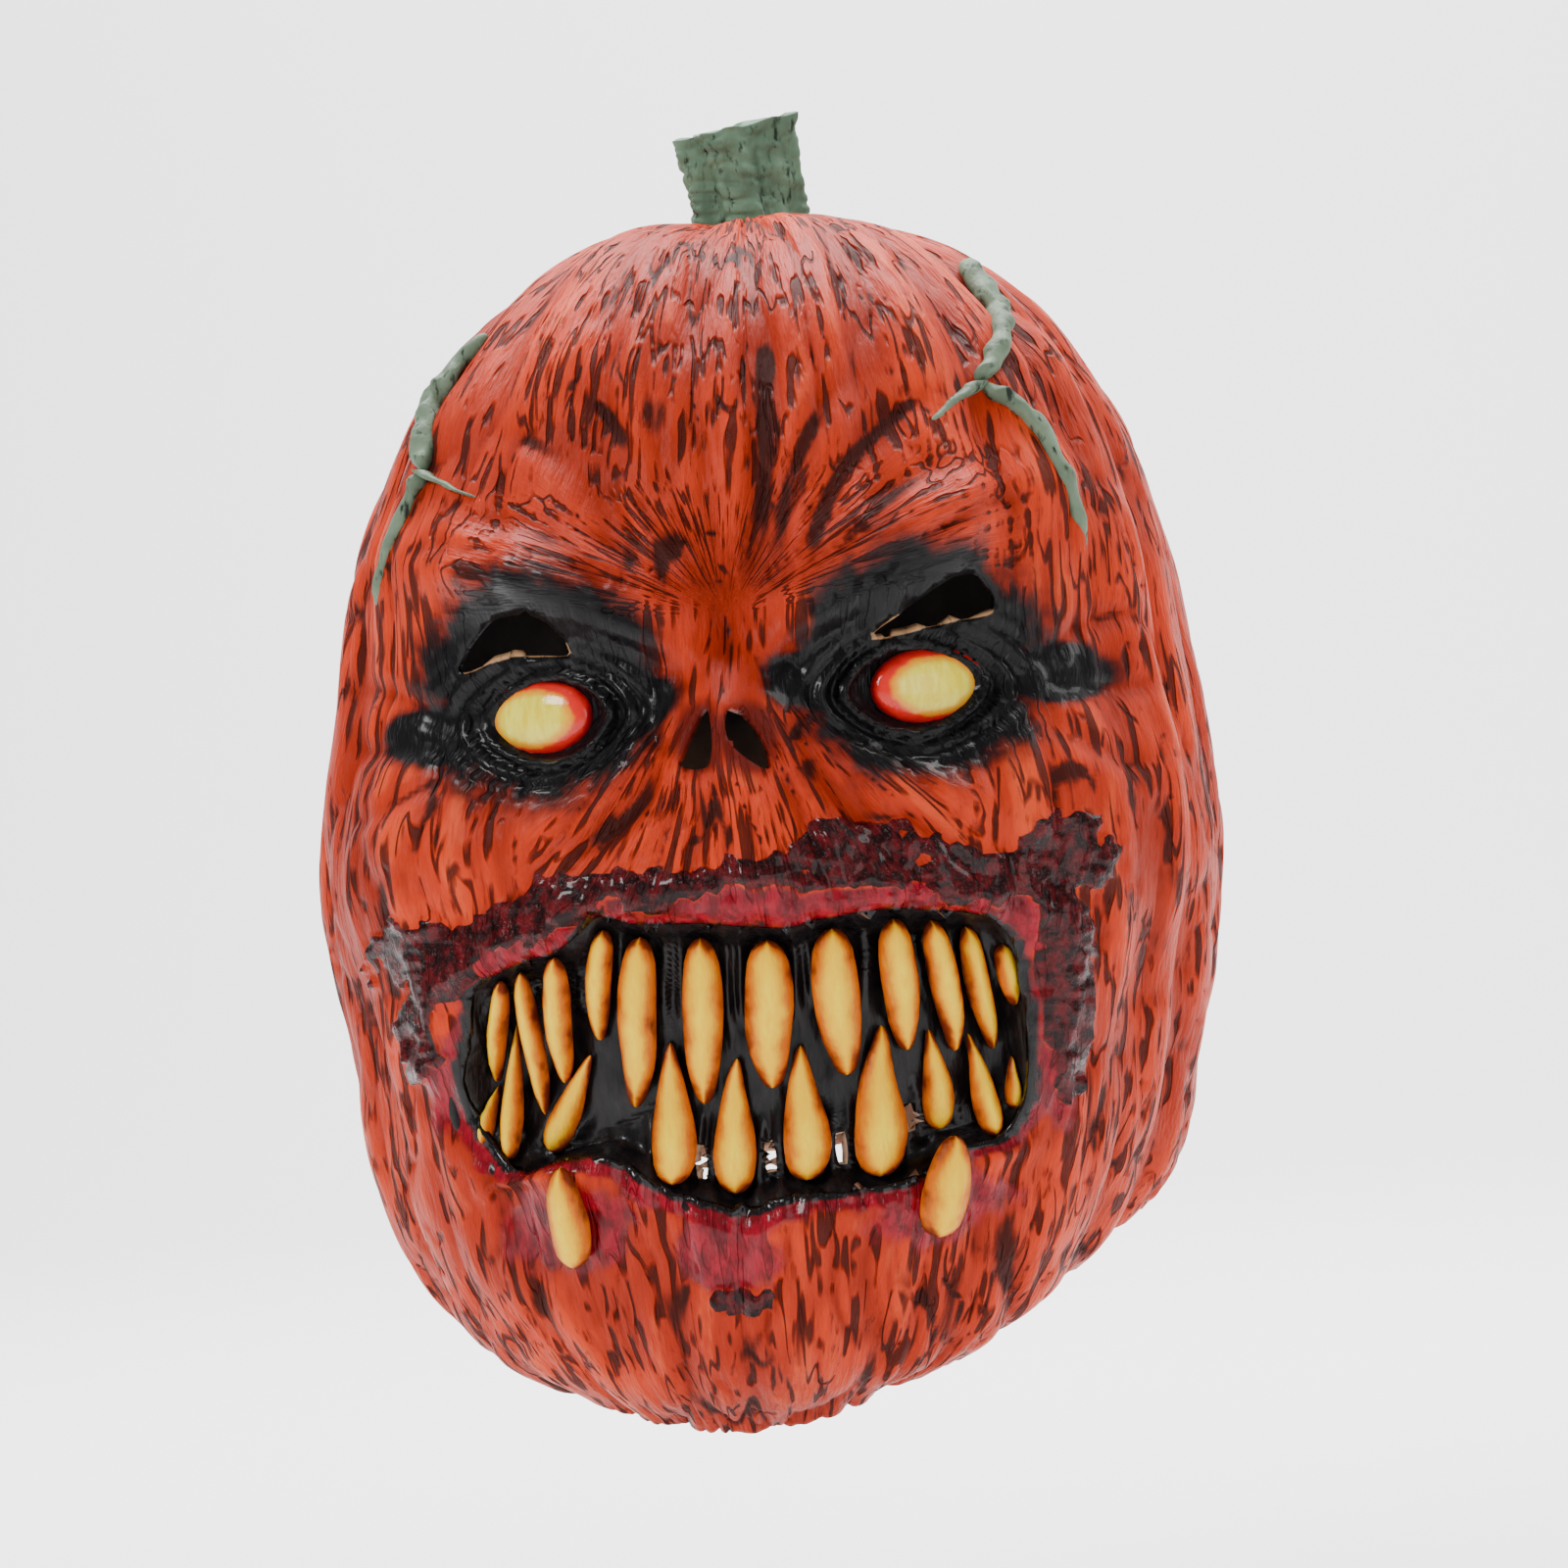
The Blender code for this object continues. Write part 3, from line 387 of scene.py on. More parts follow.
# The floor, which bends up into a wall: the shares of its length before the bend and in it, and its sizes
FLOOR_SHARE = 0.55
BEND_SHARE = 0.20
FLOOR_LEVEL = -0.42
FLOOR_WIDTH = 12
FLOOR_FRONT = -3.0
FLOOR_RUN = 5.2
BEND_RADIUS = 0.8
WALL_RISE = 14

# A square lamp: its place, its side and its power in watts.
Lamp = namedtuple("Lamp", "name place size power")
LAMPS = (
    Lamp("key", (-0.85, -1.20, 0.70), 0.45, 18),
    Lamp("fill", (1.0, -1.4, 0.0), 0.9, 7),
    Lamp("rim", (1.3, 0.3, 0.6), 0.6, 7),
    Lamp("backdrop", (0.0, 0.9, 1.6), 2.0, 230),
)
WORLD_STRENGTH = 0.28

# The camera: its turn and roll in degrees, its lens in millimetres, how far off it stands, and how far to
# the side and above the hem it looks
VIEW_TURN = 6.0
VIEW_ROLL = 4.7
VIEW_LENS = 133.3
VIEW_DISTANCE = 1.6
VIEW_ASIDE = 0.0044
VIEW_UP = 0.1798


def smooth_step(value):
    """Zero below 0, one above 1, and soft between."""
    value = np.clip(value, 0.0, 1.0)
    return value * value * (3.0 - 2.0 * value)


def in_metres(spots):
    """Spots given as shares of half the width and of the height, in metres across and up."""
    return np.array(spots) * (MASK_WIDTH / 2, MASK_HEIGHT)


def within(across, up, shape):
    """How far each place lies along and over a tilted bump or patch, in shares of its half sizes."""
    tilt = math.radians(shape.tilt)
    right = across - shape.across * MASK_WIDTH / 2
    high = up - shape.up * MASK_HEIGHT
    along = (right * math.cos(tilt) + high * math.sin(tilt)) / (shape.wide * MASK_WIDTH / 2)
    over = (high * math.cos(tilt) - right * math.sin(tilt)) / (shape.tall * MASK_HEIGHT)
    return along, over


def beside_line(across, up, start, end):
    """How far each place lies along a line, as a share of it, and aside of it, and the line's length."""
    run = end - start
    length = np.linalg.norm(run)
    along = ((across - start[0]) * run[0] + (up - start[1]) * run[1]) / length ** 2
    aside = ((up - start[1]) * run[0] - (across - start[0]) * run[1]) / length
    return along, aside, length


def beside_groove(groove, turn, row):
    """How many degrees a turn lies beside a groove, and how much of the groove is left at that row."""
    share = np.clip((row - groove.first) / (groove.last - groove.first), 0, 1)
    middle = groove.top_turn + (groove.foot_turn - groove.top_turn) * share
    apart = (np.degrees(turn) - middle + 180) % 360 - 180
    ends = smooth_step((row - groove.first + 0.6) / 1.6) * smooth_step((groove.last + 0.8 - row) / 1.2)
    return apart, ends


def read_sections(column, row):
    """One column of the section table at any row between, on a smooth curve."""
    values = np.array([getattr(section, column) for section in SECTIONS])
    row = np.clip(np.asarray(row, dtype=float), 0, LAST_SECTION)
    index = np.minimum(np.floor(row).astype(int), LAST_SECTION - 1)
    share = row - index
    here, there = values[index], values[index + 1]
    before = np.where(index > 0, values[np.maximum(index - 1, 0)], 2 * values[0] - values[1])
    beyond = values[np.minimum(index + 2, LAST_SECTION)]
    after = np.where(index < LAST_SECTION - 1, beyond, 2 * values[-1] - values[-2])
    slope = there - before
    bend = 2 * before - 5 * here + 4 * there - after
    twist = 3 * here - before - 3 * there + after
    return 0.5 * (2 * here + slope * share + bend * share ** 2 + twist * share ** 3)


def form(turn, row):
    """The smooth form under the ribs and the face, at a turn in radians and a row of the table."""
    turn, row = np.broadcast_arrays(np.asarray(turn, dtype=float), np.asarray(row, dtype=float))
    sine, cosine = np.sin(turn), np.cos(turn)
    front = np.maximum(cosine, 0) ** CHEEK_FULLNESS
    back = np.maximum(-cosine, 0) ** CHEEK_FULLNESS
    side = 1 - front - back
    half_width = np.maximum(read_sections("side_out", row) * MASK_WIDTH / 2, 1e-7)
    front_depth = read_sections("front_out", row) * FACE_DEPTH
    back_depth = read_sections("back_out", row) * BACK_DEPTH
    depth = np.maximum(np.where(cosine > 0, front_depth, back_depth), 1e-7)
    outward = (np.abs(sine) / half_width) ** SQUARENESS + (np.abs(cosine) / depth) ** SQUARENESS
    out = outward ** (-1 / SQUARENESS)
    level = (front * read_sections("front_up", row) + side * read_sections("side_up", row)
             + back * read_sections("back_up", row))
    above = np.maximum(2 * level - 1, 0)
    below = np.maximum(1 - 2 * level, 0)
    lean = CROWN_LEAN * above + JAW_LEAN * below ** JAW_LEAN_ONSET
    beside_flap = (turn - math.radians(HEM_FLAP_TURN)) / math.radians(HEM_FLAP_SPREAD)
    flap = np.exp(-beside_flap ** 2) * (row / LAST_SECTION) ** 8
    up = level * MASK_HEIGHT - HEM_FLAP * flap - HEAD_SEAT_UP
    return np.stack([out * sine + lean, -out * cosine, up], -1)


def facing_of(surface, turn, row):
    """Which way a surface faces."""
    step = 0.01
    middle = np.maximum(row, 0.08)
    along = surface(turn + step, middle) - surface(turn - step, middle)
    down = surface(turn, middle + step) - surface(turn, middle - step)
    facing = np.cross(down, along)
    return facing / np.maximum(np.linalg.norm(facing, axis=-1, keepdims=True), 1e-12)


def closed_outline(spots, steps):
    """A smooth closed line through spots, in metres across and up."""
    corners = in_metres(spots)
    before, after, beyond = np.roll(corners, 1, 0), np.roll(corners, -1, 0), np.roll(corners, -2, 0)
    pieces = []
    for step in range(steps):
        share = step / steps
        pieces.append(0.5 * (2 * corners + (after - before) * share
                             + (2 * before - 5 * corners + 4 * after - beyond) * share ** 2
                             + (3 * corners - before - 3 * after + beyond) * share ** 3))
    return np.stack(pieces, 1).reshape(-1, 2)


def mouth_reach(across, up):
    """How far a place lies from the mouth's middle, as a share of the way to the mouth's edge."""
    edge = closed_outline(MOUTH_EDGE, 3)
    middle = in_metres(MOUTH_MIDDLE)
    spoke = edge - middle
    angles = np.arctan2(spoke[:, 1], spoke[:, 0])
    order = np.argsort(angles)
    lengths = np.linalg.norm(spoke, axis=1)[order]
    towards = np.arctan2(up - middle[1], across - middle[0])
    limit = np.interp(towards, angles[order], lengths, period=2 * math.pi)
    return np.hypot(across - middle[0], up - middle[1]) / limit, limit


def relief(turn, row, place):
    """How far the ribs and the face rise from the smooth form, in metres."""
    across, up = place[..., 0], place[..., 2] + HEAD_SEAT_UP
    out = np.hypot(place[..., 0], place[..., 1])
    rise = np.zeros(out.shape)
    for groove in GROOVES:
        apart, ends = beside_groove(groove, turn, row)
        aside = np.radians(apart) * out / GROOVE_WIDTH
        rise -= RIB_GROOVE * groove.depth * ends * np.exp(-aside ** 2)
    in_front = smooth_step(np.cos(turn) * 3)
    for bump in BUMPS:
        along, over = within(across, up, bump)
        rise += FACE_RELIEF * bump.height * in_front * np.exp(-along ** 2 - over ** 2)
    reach, limit = mouth_reach(across, up)
    beside = (reach - 1) * limit / LIP_WIDTH
    rise += LIP_HEIGHT * in_front * np.exp(-(beside - 0.3) ** 2)
    return rise


def skin(turn, row):
    """The outside of the shell at a turn in radians and a row of the table."""
    place = form(turn, row)
    turn, row = np.broadcast_arrays(turn, row)
    return place + facing_of(form, turn, row) * relief(turn, row, place)[..., None]


def find_on_face(across, up):
    """The turn and row where the front of the skin lies at these metres across and above the hem."""
    across, up = np.asarray(across, dtype=float), np.asarray(up, dtype=float) - HEAD_SEAT_UP
    turn = np.arctan2(across, FACE_DEPTH * 0.9)
    row = LAST_SECTION * (1 - np.clip((up + HEAD_SEAT_UP) / MASK_HEIGHT, 0.02, 0.98)) * 0.9 + 1.2
    nudge = 0.004
    for _ in range(14):
        here = skin(turn, row)
        by_turn = (skin(turn + nudge, row) - here) / nudge
        by_row = (skin(turn, row + nudge) - here) / nudge
        miss_across, miss_up = across - here[..., 0], up - here[..., 2]
        scale = by_turn[..., 0] * by_row[..., 2] - by_row[..., 0] * by_turn[..., 2]
        scale = np.where(np.abs(scale) < 1e-8, 1e-8, scale)
        turn_step = (miss_across * by_row[..., 2] - miss_up * by_row[..., 0]) / scale
        row_step = (miss_up * by_turn[..., 0] - miss_across * by_turn[..., 2]) / scale
        turn = np.clip(turn + np.clip(turn_step, -0.3, 0.3), -1.55, 1.55)
        row = np.clip(row + np.clip(row_step, -1.0, 1.0), 0.5, LAST_SECTION)
    return turn, row


def on_face(across, up):
    """The place on the front of the skin at these metres across and above the hem, and its facing."""
    turn, row = find_on_face(across, up)
    return skin(turn, row), facing_of(form, turn, row)


def on_lip(across, up):
    """The place on the front of the skin at these metres across and above the hem."""
    return on_face(across, up)[0]


def gum_hollow(across, up):
    """How far the gums lie behind the lips' inside, measured straight back."""
    reach, _ = mouth_reach(across, up)
    corner = smooth_step(np.abs(across / (MASK_WIDTH / 2)) / 0.55 - 0.35)
    return smooth_step((1.06 - reach) / 0.24) * (MOUTH_HOLLOW + CORNER_HOLLOW * corner)


def on_gums(across, up):
    """The place on the front of the gums at these metres across and above the hem."""
    turn, row = find_on_face(across, up)
    place, facing = skin(turn, row), facing_of(skin, turn, row)
    behind = (WALL + GUM_CLEARANCE) / np.maximum(-facing[..., 1], 0.3)
    place[..., 1] += behind + gum_hollow(across, up)
    return place


def ripple(points, size):
    """Smooth noise of one size, between about -1 and 1, at each of some places."""
    return np.array([noise.noise(Vector(point)) for point in np.asarray(points) / size])


def beside_outline(points, outline):
    """How far each place lies outside an outline, less than zero inside it, and its nearest place on it."""
    start, end = outline, np.roll(outline, -1, 0)
    edge = end - start
    away = points[:, None, :] - start[None]
    share = np.clip((away * edge).sum(-1) / np.maximum((edge ** 2).sum(-1), 1e-14), 0, 1)
    nearest = start[None] + share[..., None] * edge[None]
    distance = np.linalg.norm(points[:, None, :] - nearest, axis=-1)
    best = distance.argmin(1)
    rows = np.arange(len(points))
    above = (start[None, :, 1] > points[:, None, 1]) != (end[None, :, 1] > points[:, None, 1])
    rise = np.where(np.abs(edge[:, 1]) < 1e-12, 1e-12, edge[:, 1])
    crossing = start[None, :, 0] + (points[:, None, 1] - start[None, :, 1]) * (edge[:, 0] / rise)[None]
    inside = (above & (points[:, None, 0] < crossing)).sum(1) % 2 == 1
    return np.where(inside, -1, 1) * distance[rows, best], nearest[rows, best]


def holes_in_skin():
    """The cut outlines of the face in metres: the mouth, the two slits and the two nostrils."""
    return [closed_outline(spots, steps) for spots, steps in
            ((MOUTH_EDGE, 6), (RIGHT_SLIT, 8), (LEFT_SLIT, 8), (RIGHT_NOSTRIL, 6), (LEFT_NOSTRIL, 6))]


def drum_place(turn, row):
    """A place on a drum round the head, drawn out along the ribs, that the wrinkles are drawn by."""
    return np.stack([DRUM * np.sin(turn), -DRUM * np.cos(turn), row * 0.030 / DRAWN_OUT], -1)


def fan_place(across, up):
    """A place in the fan of wrinkles that runs together between the brows, and the fan's share there."""
    side, high = across / (MASK_WIDTH / 2) - 0.045, up / MASK_HEIGHT
    right, over = side * MASK_WIDTH / 2, up - 0.665 * MASK_HEIGHT
    angle, far = np.arctan2(right, over), np.hypot(right, over)
    forehead = smooth_step((high - 0.665) / 0.03) * smooth_step((0.815 - high) / 0.10)
    forehead *= smooth_step((0.70 - np.abs(side)) / 0.25)
    muzzle = smooth_step((0.61 - high) / 0.04) * smooth_step((high - 0.43) / 0.03)
    muzzle *= smooth_step((0.55 - np.abs(side)) / 0.2)
    place = np.stack([FAN_DRUM * np.sin(angle), FAN_DRUM * np.cos(angle), far / DRAWN_OUT], -1)
    return place, np.maximum(forehead, muzzle)


def patch_cover(across, up, patches, ragged):
    """How far each place lies within any of some ragged patches: above zero inside."""
    cover = np.full(across.shape, -9.0)
    for patch in patches:
        along, over = within(across, up, patch)
        cover = np.maximum(cover, 1 - np.hypot(along, over) + ragged)
    return cover


def stroke_depth(across, up):
    """How deep the modelled creases are pressed in, in shares of CREASE."""
    depth = np.zeros(across.shape)
    for stroke in STROKES:
        start = in_metres((stroke.across, stroke.up))
        end = in_metres((stroke.to_across, stroke.to_up))
        along, aside, length = beside_line(across, up, start, end)
        bowed = aside - stroke.bow * length * 4 * along * (1 - along)
        ends = smooth_step(along / 0.2 + 0.3) * smooth_step((1 - along) / 0.2 + 0.3)
        press = stroke.deep * ends * np.exp(-(bowed / (CREASE_WIDTH * stroke.wide)) ** 2)
        depth = np.maximum(depth, press)
    return depth


def rib_hollow(turn, row):
    """One in the grooves between the ribs and zero on the ribs."""
    hollow = np.zeros(turn.shape)
    for groove in GROOVES:
        apart, ends = beside_groove(groove, turn, row)
        hollow = np.maximum(hollow, groove.depth * ends * np.exp(-(apart / 3.2) ** 2))
    return hollow


def bump_rise(across, up, bumps):
    """How far some soft bumps rise at each place."""
    rise = np.zeros(across.shape)
    for bump in bumps:
        along, over = within(across, up, bump)
        rise += FACE_RELIEF * bump.height * np.exp(-along ** 2 - over ** 2)
    return rise


def ropes(drum, fan, fan_share, size):
    """Rounded ridges drawn out along the ribs or the fan: zero in the creases between them."""
    plain = np.abs(ripple(drum, size))
    fanned = np.abs(ripple(fan, 0.85 * size))
    return plain * (1 - fan_share) + fanned * fan_share


def eye_ring(across, up, spot, ragged):
    """How far a place lies from an eye's middle, as a share of the way to its rim."""
    right = (across - spot.across * MASK_WIDTH / 2) / (EYE_WIDTH / 2)
    high = (up - spot.up * MASK_HEIGHT) / (EYE_HEIGHT / 2)
    return (np.abs(right) ** 1.7 + np.abs(high) ** 1.7) ** (1 / 1.7) + 0.10 * ragged


def fine_relief(turn, row, place):
    """The wrinkles, creases, eyelid folds and torn flesh: their rise, what the paint follows, and where shade
    and highlights are painted.
    """
    across, up = place[:, 0], place[:, 2] + HEAD_SEAT_UP
    in_front = smooth_step(np.cos(turn) * 3)
    drum = drum_place(turn, row)
    fan, fan_share = fan_place(across, up)
    fan_share = fan_share * in_front
    wavy = np.stack([ripple(place, 0.024), ripple(place + 0.5, 0.024), 0 * across], -1) * ROPE_WANDER
    broad = ropes(drum + wavy, fan + wavy, fan_share, BROAD_ROPE)
    narrow = ropes(drum + wavy + 3.1, fan + wavy + 3.1, fan_share, NARROW_ROPE)
    lumps = ripple(place, 0.034)
    ragged = ripple(place, 0.009) * 0.28 + ripple(place, 0.0035) * 0.16
    worn = smooth_step(ripple(place + 2.0, 0.018) * 1.6 + 0.55)
    rough_side = 0.45 + 0.55 * smooth_step(lumps * 1.6 + 0.6)
    broad_rise, narrow_rise = 1 - np.exp(-broad / 0.13), 1 - np.exp(-narrow / 0.13)
    rise = WRINKLE * (0.85 * broad_rise + 0.45 * rough_side * narrow_rise - 0.75)
    rise = rise * 1.35 + 0.0018 * lumps + bump_rise(across, up, FINE_BUMPS) * in_front
    press = stroke_depth(across, up) * in_front
    rise -= CREASE * press
    # How high each place stands on the ropes: the paint is lightened on the crests, part dry-brushing and part
    # painted highlight, and darkened in the hollows, part wash and part painted shade.
    crest_paint_and_light = 0.55 * broad_rise + 0.45 * narrow_rise
    groove = np.exp(-(broad / 0.055) ** 2) * 0.85 * (0.35 + 0.65 * worn)
    groove = np.maximum(groove, np.exp(-(narrow / 0.060) ** 2) * worn * rough_side)
    groove = np.maximum(groove, smooth_step(press * 1.3 - 0.55) * (0.4 + 0.6 * worn) * 0.9)

    black = smooth_step(patch_cover(across, up, SOCKET_BLACK, ragged * 0.35) / 0.55 + 0.10) * in_front
    for _, spot in EYES:
        ring = eye_ring(across, up, spot, ragged)
        folds = np.cos(2 * math.pi * (ring - 1.18) / 0.36) * np.exp(-((ring - 1.2) / 0.85) ** 2)
        lid = np.exp(-((ring - 1.12) / 0.13) ** 2)
        near = in_front * smooth_step((ring - 0.85) / 0.2)
        rise = rise * (1 - 0.7 * in_front * smooth_step((1.9 - ring) / 0.6))
        rise += near * (LID_FOLD * folds + 1.2 * LID_FOLD * lid)
        rise -= 0.0015 * in_front * smooth_step((1.0 - ring) / 0.2)

    reach, limit = mouth_reach(across, up)
    outside = (reach - 1) * limit
    upper = smooth_step((up / MASK_HEIGHT - 0.36) / 0.05) * in_front
    lip_band = smooth_step((0.0120 - outside) / 0.0035 + ragged * 2.2) * upper
    lower_band = smooth_step((0.0050 - outside) / 0.0030 + ragged * 2.5) * (1 - upper) * in_front
    raw = np.maximum(lip_band, lower_band)
    raw = np.maximum(raw, smooth_step(patch_cover(across, up, RAW_LIP, ragged * 0.8) / 0.60) * in_front)
    torn_band = smooth_step((0.0180 - outside) / 0.0030 + ragged * 5.0) * upper * (1 - lip_band)
    torn = smooth_step(patch_cover(across, up, TORN_FLESH, ragged * 1.8) / 0.10) * in_front
    torn = np.maximum(torn, torn_band) * smooth_step(outside / 0.002)
    shreds = np.abs(ripple(place * (1.0, 1.0, 0.45), 0.0062)) + 0.5 * np.abs(ripple(place, 0.0030))
    rise += torn * TORN * (2.4 * np.minimum(shreds, 0.5) + 0.2)
    rise += raw * (1 - torn) * 0.0012 * ripple(place * (1, 1, 0.4), 0.0050)
    groove = groove * (1 - np.maximum(torn, raw)) + torn * np.exp(-(shreds / 0.14) ** 2)
    gum_black = smooth_step((0.0016 - outside) / 0.0012 + ragged * 1.5) * in_front
    black = np.maximum(black, gum_black)
    roll = np.exp(-(np.maximum(outside, 0) / 0.0028) ** 2) * in_front * (outside > -0.004)
    rise -= LIP_ROLL * roll
    # Dark red-brown round the nostrils: part red-brown paint, part painted shade of their recess.
    nostril_paint_and_shade = np.zeros(across.shape)
    for nostril in (RIGHT_NOSTRIL, LEFT_NOSTRIL):
        middle = in_metres(np.array(nostril).mean(0))
        far = np.hypot(across - middle[0], (up - middle[1]) * 0.75)
        nostril_paint_and_shade = np.maximum(nostril_paint_and_shade, smooth_step((0.0085 - far) / 0.0030) * in_front)
        rise += 0.0014 * in_front * np.exp(-((far - 0.0090) / 0.0022) ** 2)
    paints = np.stack([black, raw * (1 - torn), torn], -1)
    # Lower in the pressed creases and in the grooves between the ribs, so the paint there is darkened as painted
    # shade.
    crest_paint_and_light = crest_paint_and_light * (1 - 0.45 * smooth_step(press * 1.2)) * (1 - 0.75 * rib_hollow(turn, row))
    return rise, groove, paints, nostril_paint_and_shade, crest_paint_and_light, drum, fan, fan_share


def fine_skin(turn, row):
    """The finished outside of the skin, with what its paint and its painted shade and highlights follow."""
    place = form(turn, row)
    rise, *painted = fine_relief(turn, row, place)
    rise = rise + relief(turn, row, place)
    return place + facing_of(form, turn, row) * rise[..., None], painted


def bmesh_grid(columns, rows):
    """A flat grid, and the two shares of each of its points."""
    sheet = bmesh.new()
    bmesh.ops.create_grid(sheet, x_segments=columns, y_segments=rows, size=0.5)
    shares = np.array([point.co[:2] for point in sheet.verts]) + 0.5
    return sheet, shares


def place_points(sheet, places):
    """Move a bmesh's points."""
    for point, place in zip(sheet.verts, places):
        point.co = place


def close_up(sheet):
    """Join the points that meet, and turn the faces outwards."""
    bmesh.ops.remove_doubles(sheet, verts=sheet.verts, dist=MERGE_REACH)
    bmesh.ops.recalc_face_normals(sheet, faces=sheet.faces)


def new_piece(name, sheet, materials):
    """Turn a bmesh into a smooth-shaded piece of the scene, with its materials."""
    mesh = bpy.data.meshes.new(name)
    sheet.to_mesh(mesh)
    sheet.free()
    for material in materials:
        mesh.materials.append(material)
    piece = bpy.data.objects.new(name, mesh)
    bpy.context.scene.collection.objects.link(piece)
    mesh.shade_smooth()
    return piece


def write_attribute(piece, name, kind, values):
    """Keep one value or vector for each point of a piece, for its material to read."""
    layer = piece.data.attributes.new(name, kind, "POINT")
    field = "vector" if kind == "FLOAT_VECTOR" else "value"
    layer.data.foreach_set(field, np.asarray(values, dtype=np.float32).ravel())


def skin_shares(shares):
    """The turn and row of the skin's grid, finer at the face."""
    side = 2 * shares[:, 0] - 1
    turn = math.pi * side - 0.18 * math.pi * np.sin(math.pi * side)
    wave = np.sin(2 * math.pi * (shares[:, 1] - 0.15)) + math.sin(0.3 * math.pi)
    return turn, LAST_SECTION * (shares[:, 1] + 0.055 * wave)


def snap_to_outlines(spots, free, outlines, reach):
    """Move points near a cut edge onto it, and say which lie on it (0), in the hole (1) or outside (-1)."""
    spots = spots.copy()
    state = np.full(len(spots), -1)
    for outline in outlines:
        low, high = outline.min(0) - 2 * reach, outline.max(0) + 2 * reach
        near = np.flatnonzero(free & (spots > low).all(1) & (spots < high).all(1))
        distance, nearest = beside_outline(spots[near], outline)
        on_edge = np.abs(distance) < reach
        spots[near[on_edge]] = nearest[on_edge]
        state[near[~on_edge & (distance < 0)]] = 1
        state[near[on_edge]] = 0
    return spots, state


def open_holes(sheet, state):
    """Split the faces that cross a cut edge along it, and delete those inside it."""
    for face in list(sheet.faces):
        corners = [state[point.index] for point in face.verts]
        if 1 in corners and -1 in corners:
            first, second, third, fourth = face.verts
            if state[first.index] == 0 and state[third.index] == 0:
                bmesh.utils.face_split(face, first, third)
            elif state[second.index] == 0 and state[fourth.index] == 0:
                bmesh.utils.face_split(face, second, fourth)
    inside = [face for face in sheet.faces if any(state[point.index] == 1 for point in face.verts)]
    bmesh.ops.delete(sheet, geom=inside, context="FACES")


def near_slit(places):
    """One on the lower cut edges of the vision slits, where bare latex shows, and zero away from them."""
    spots = places[:, (0, 2)] + (0, HEAD_SEAT_UP)
    near = np.zeros(len(places))
    for outline in holes_in_skin()[1:3]:
        close = np.flatnonzero((np.abs(spots - outline.mean(0)) < 0.04).all(1) & (places[:, 1] < 0))
        distance, _ = beside_outline(spots[close], outline)
        lower_edge = spots[close, 1] < outline[:, 1].mean() - 0.002
        near[close] = np.maximum(near[close], smooth_step((0.0007 - distance) / 0.0006) * lower_edge)
    return near


def make_skin():
    """The painted outside of the mask, its raw latex edges and its lining, as one closed wall."""
    sheet, shares = bmesh_grid(SKIN_COLUMNS, SKIN_ROWS)
    turn, row = skin_shares(shares)
    place = skin(turn, row)
    spots = np.stack([place[:, 0], place[:, 2] + HEAD_SEAT_UP], -1)
    spots, state = snap_to_outlines(spots, np.cos(turn) > 0.4, holes_in_skin(), EDGE_REACH)
    snapped = state == 0
    turn[snapped], row[snapped] = find_on_face(spots[snapped, 0], spots[snapped, 1])
    turns, rows = sheet.verts.layers.float.new("turn"), sheet.verts.layers.float.new("row")
    sheet.verts.index_update()
    for point, one_turn, one_row in zip(sheet.verts, turn, row):
        point[turns], point[rows] = one_turn, one_row
    place_points(sheet, skin(turn, row))
    open_holes(sheet, state)
    bmesh.ops.remove_doubles(sheet, verts=sheet.verts, dist=MERGE_REACH)
    turn = np.array([point[turns] for point in sheet.verts])
    row = np.array([point[rows] for point in sheet.verts])
    places, (groove, paints, nostril_paint_and_shade, crest_paint_and_light, drum, fan, fan_share) = fine_skin(turn, row)
    place_points(sheet, places)
    bmesh.ops.recalc_face_normals(sheet, faces=sheet.faces)
    skin_piece = new_piece("skin", sheet, (painted_skin(), lining_with_painted_shade()))
    write_attribute(skin_piece, "drum", "FLOAT_VECTOR", drum)
    write_attribute(skin_piece, "fan", "FLOAT_VECTOR", fan)
    write_attribute(skin_piece, "fan_share", "FLOAT", fan_share)
    write_attribute(skin_piece, "paints", "FLOAT_VECTOR", paints)
    write_attribute(skin_piece, "groove", "FLOAT", groove)
    write_attribute(skin_piece, "nostril_paint_and_shade", "FLOAT", nostril_paint_and_shade)
    write_attribute(skin_piece, "crest_paint_and_light", "FLOAT", crest_paint_and_light)
    write_attribute(skin_piece, "cut_edge", "FLOAT", near_slit(places))
    lining = skin_piece.vertex_groups.new(name="lining")
    wall = skin_piece.modifiers.new("wall", "SOLIDIFY")
    wall.thickness = WALL
    wall.offset = -1
    wall.material_offset = 1
    wall.material_offset_rim = 0
    wall.shell_vertex_group = lining.name
    thin_out = skin_piece.modifiers.new("plain_lining", "DECIMATE")
    thin_out.ratio = LINING_SHARE
    thin_out.vertex_group = lining.name
    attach(skin_piece, "root")
    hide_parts("mask_shell")


def air_slots():
    """The outlines of the cut gaps between the lower teeth."""
    angles = np.linspace(0, 2 * math.pi, 24, endpoint=False)
    ring = np.stack([np.cos(angles) * AIR_SLOT_WIDTH / 2, np.sin(angles) * AIR_SLOT_HEIGHT / 2], -1)
    return [in_metres(slot) + ring for slot in AIR_SLOTS]


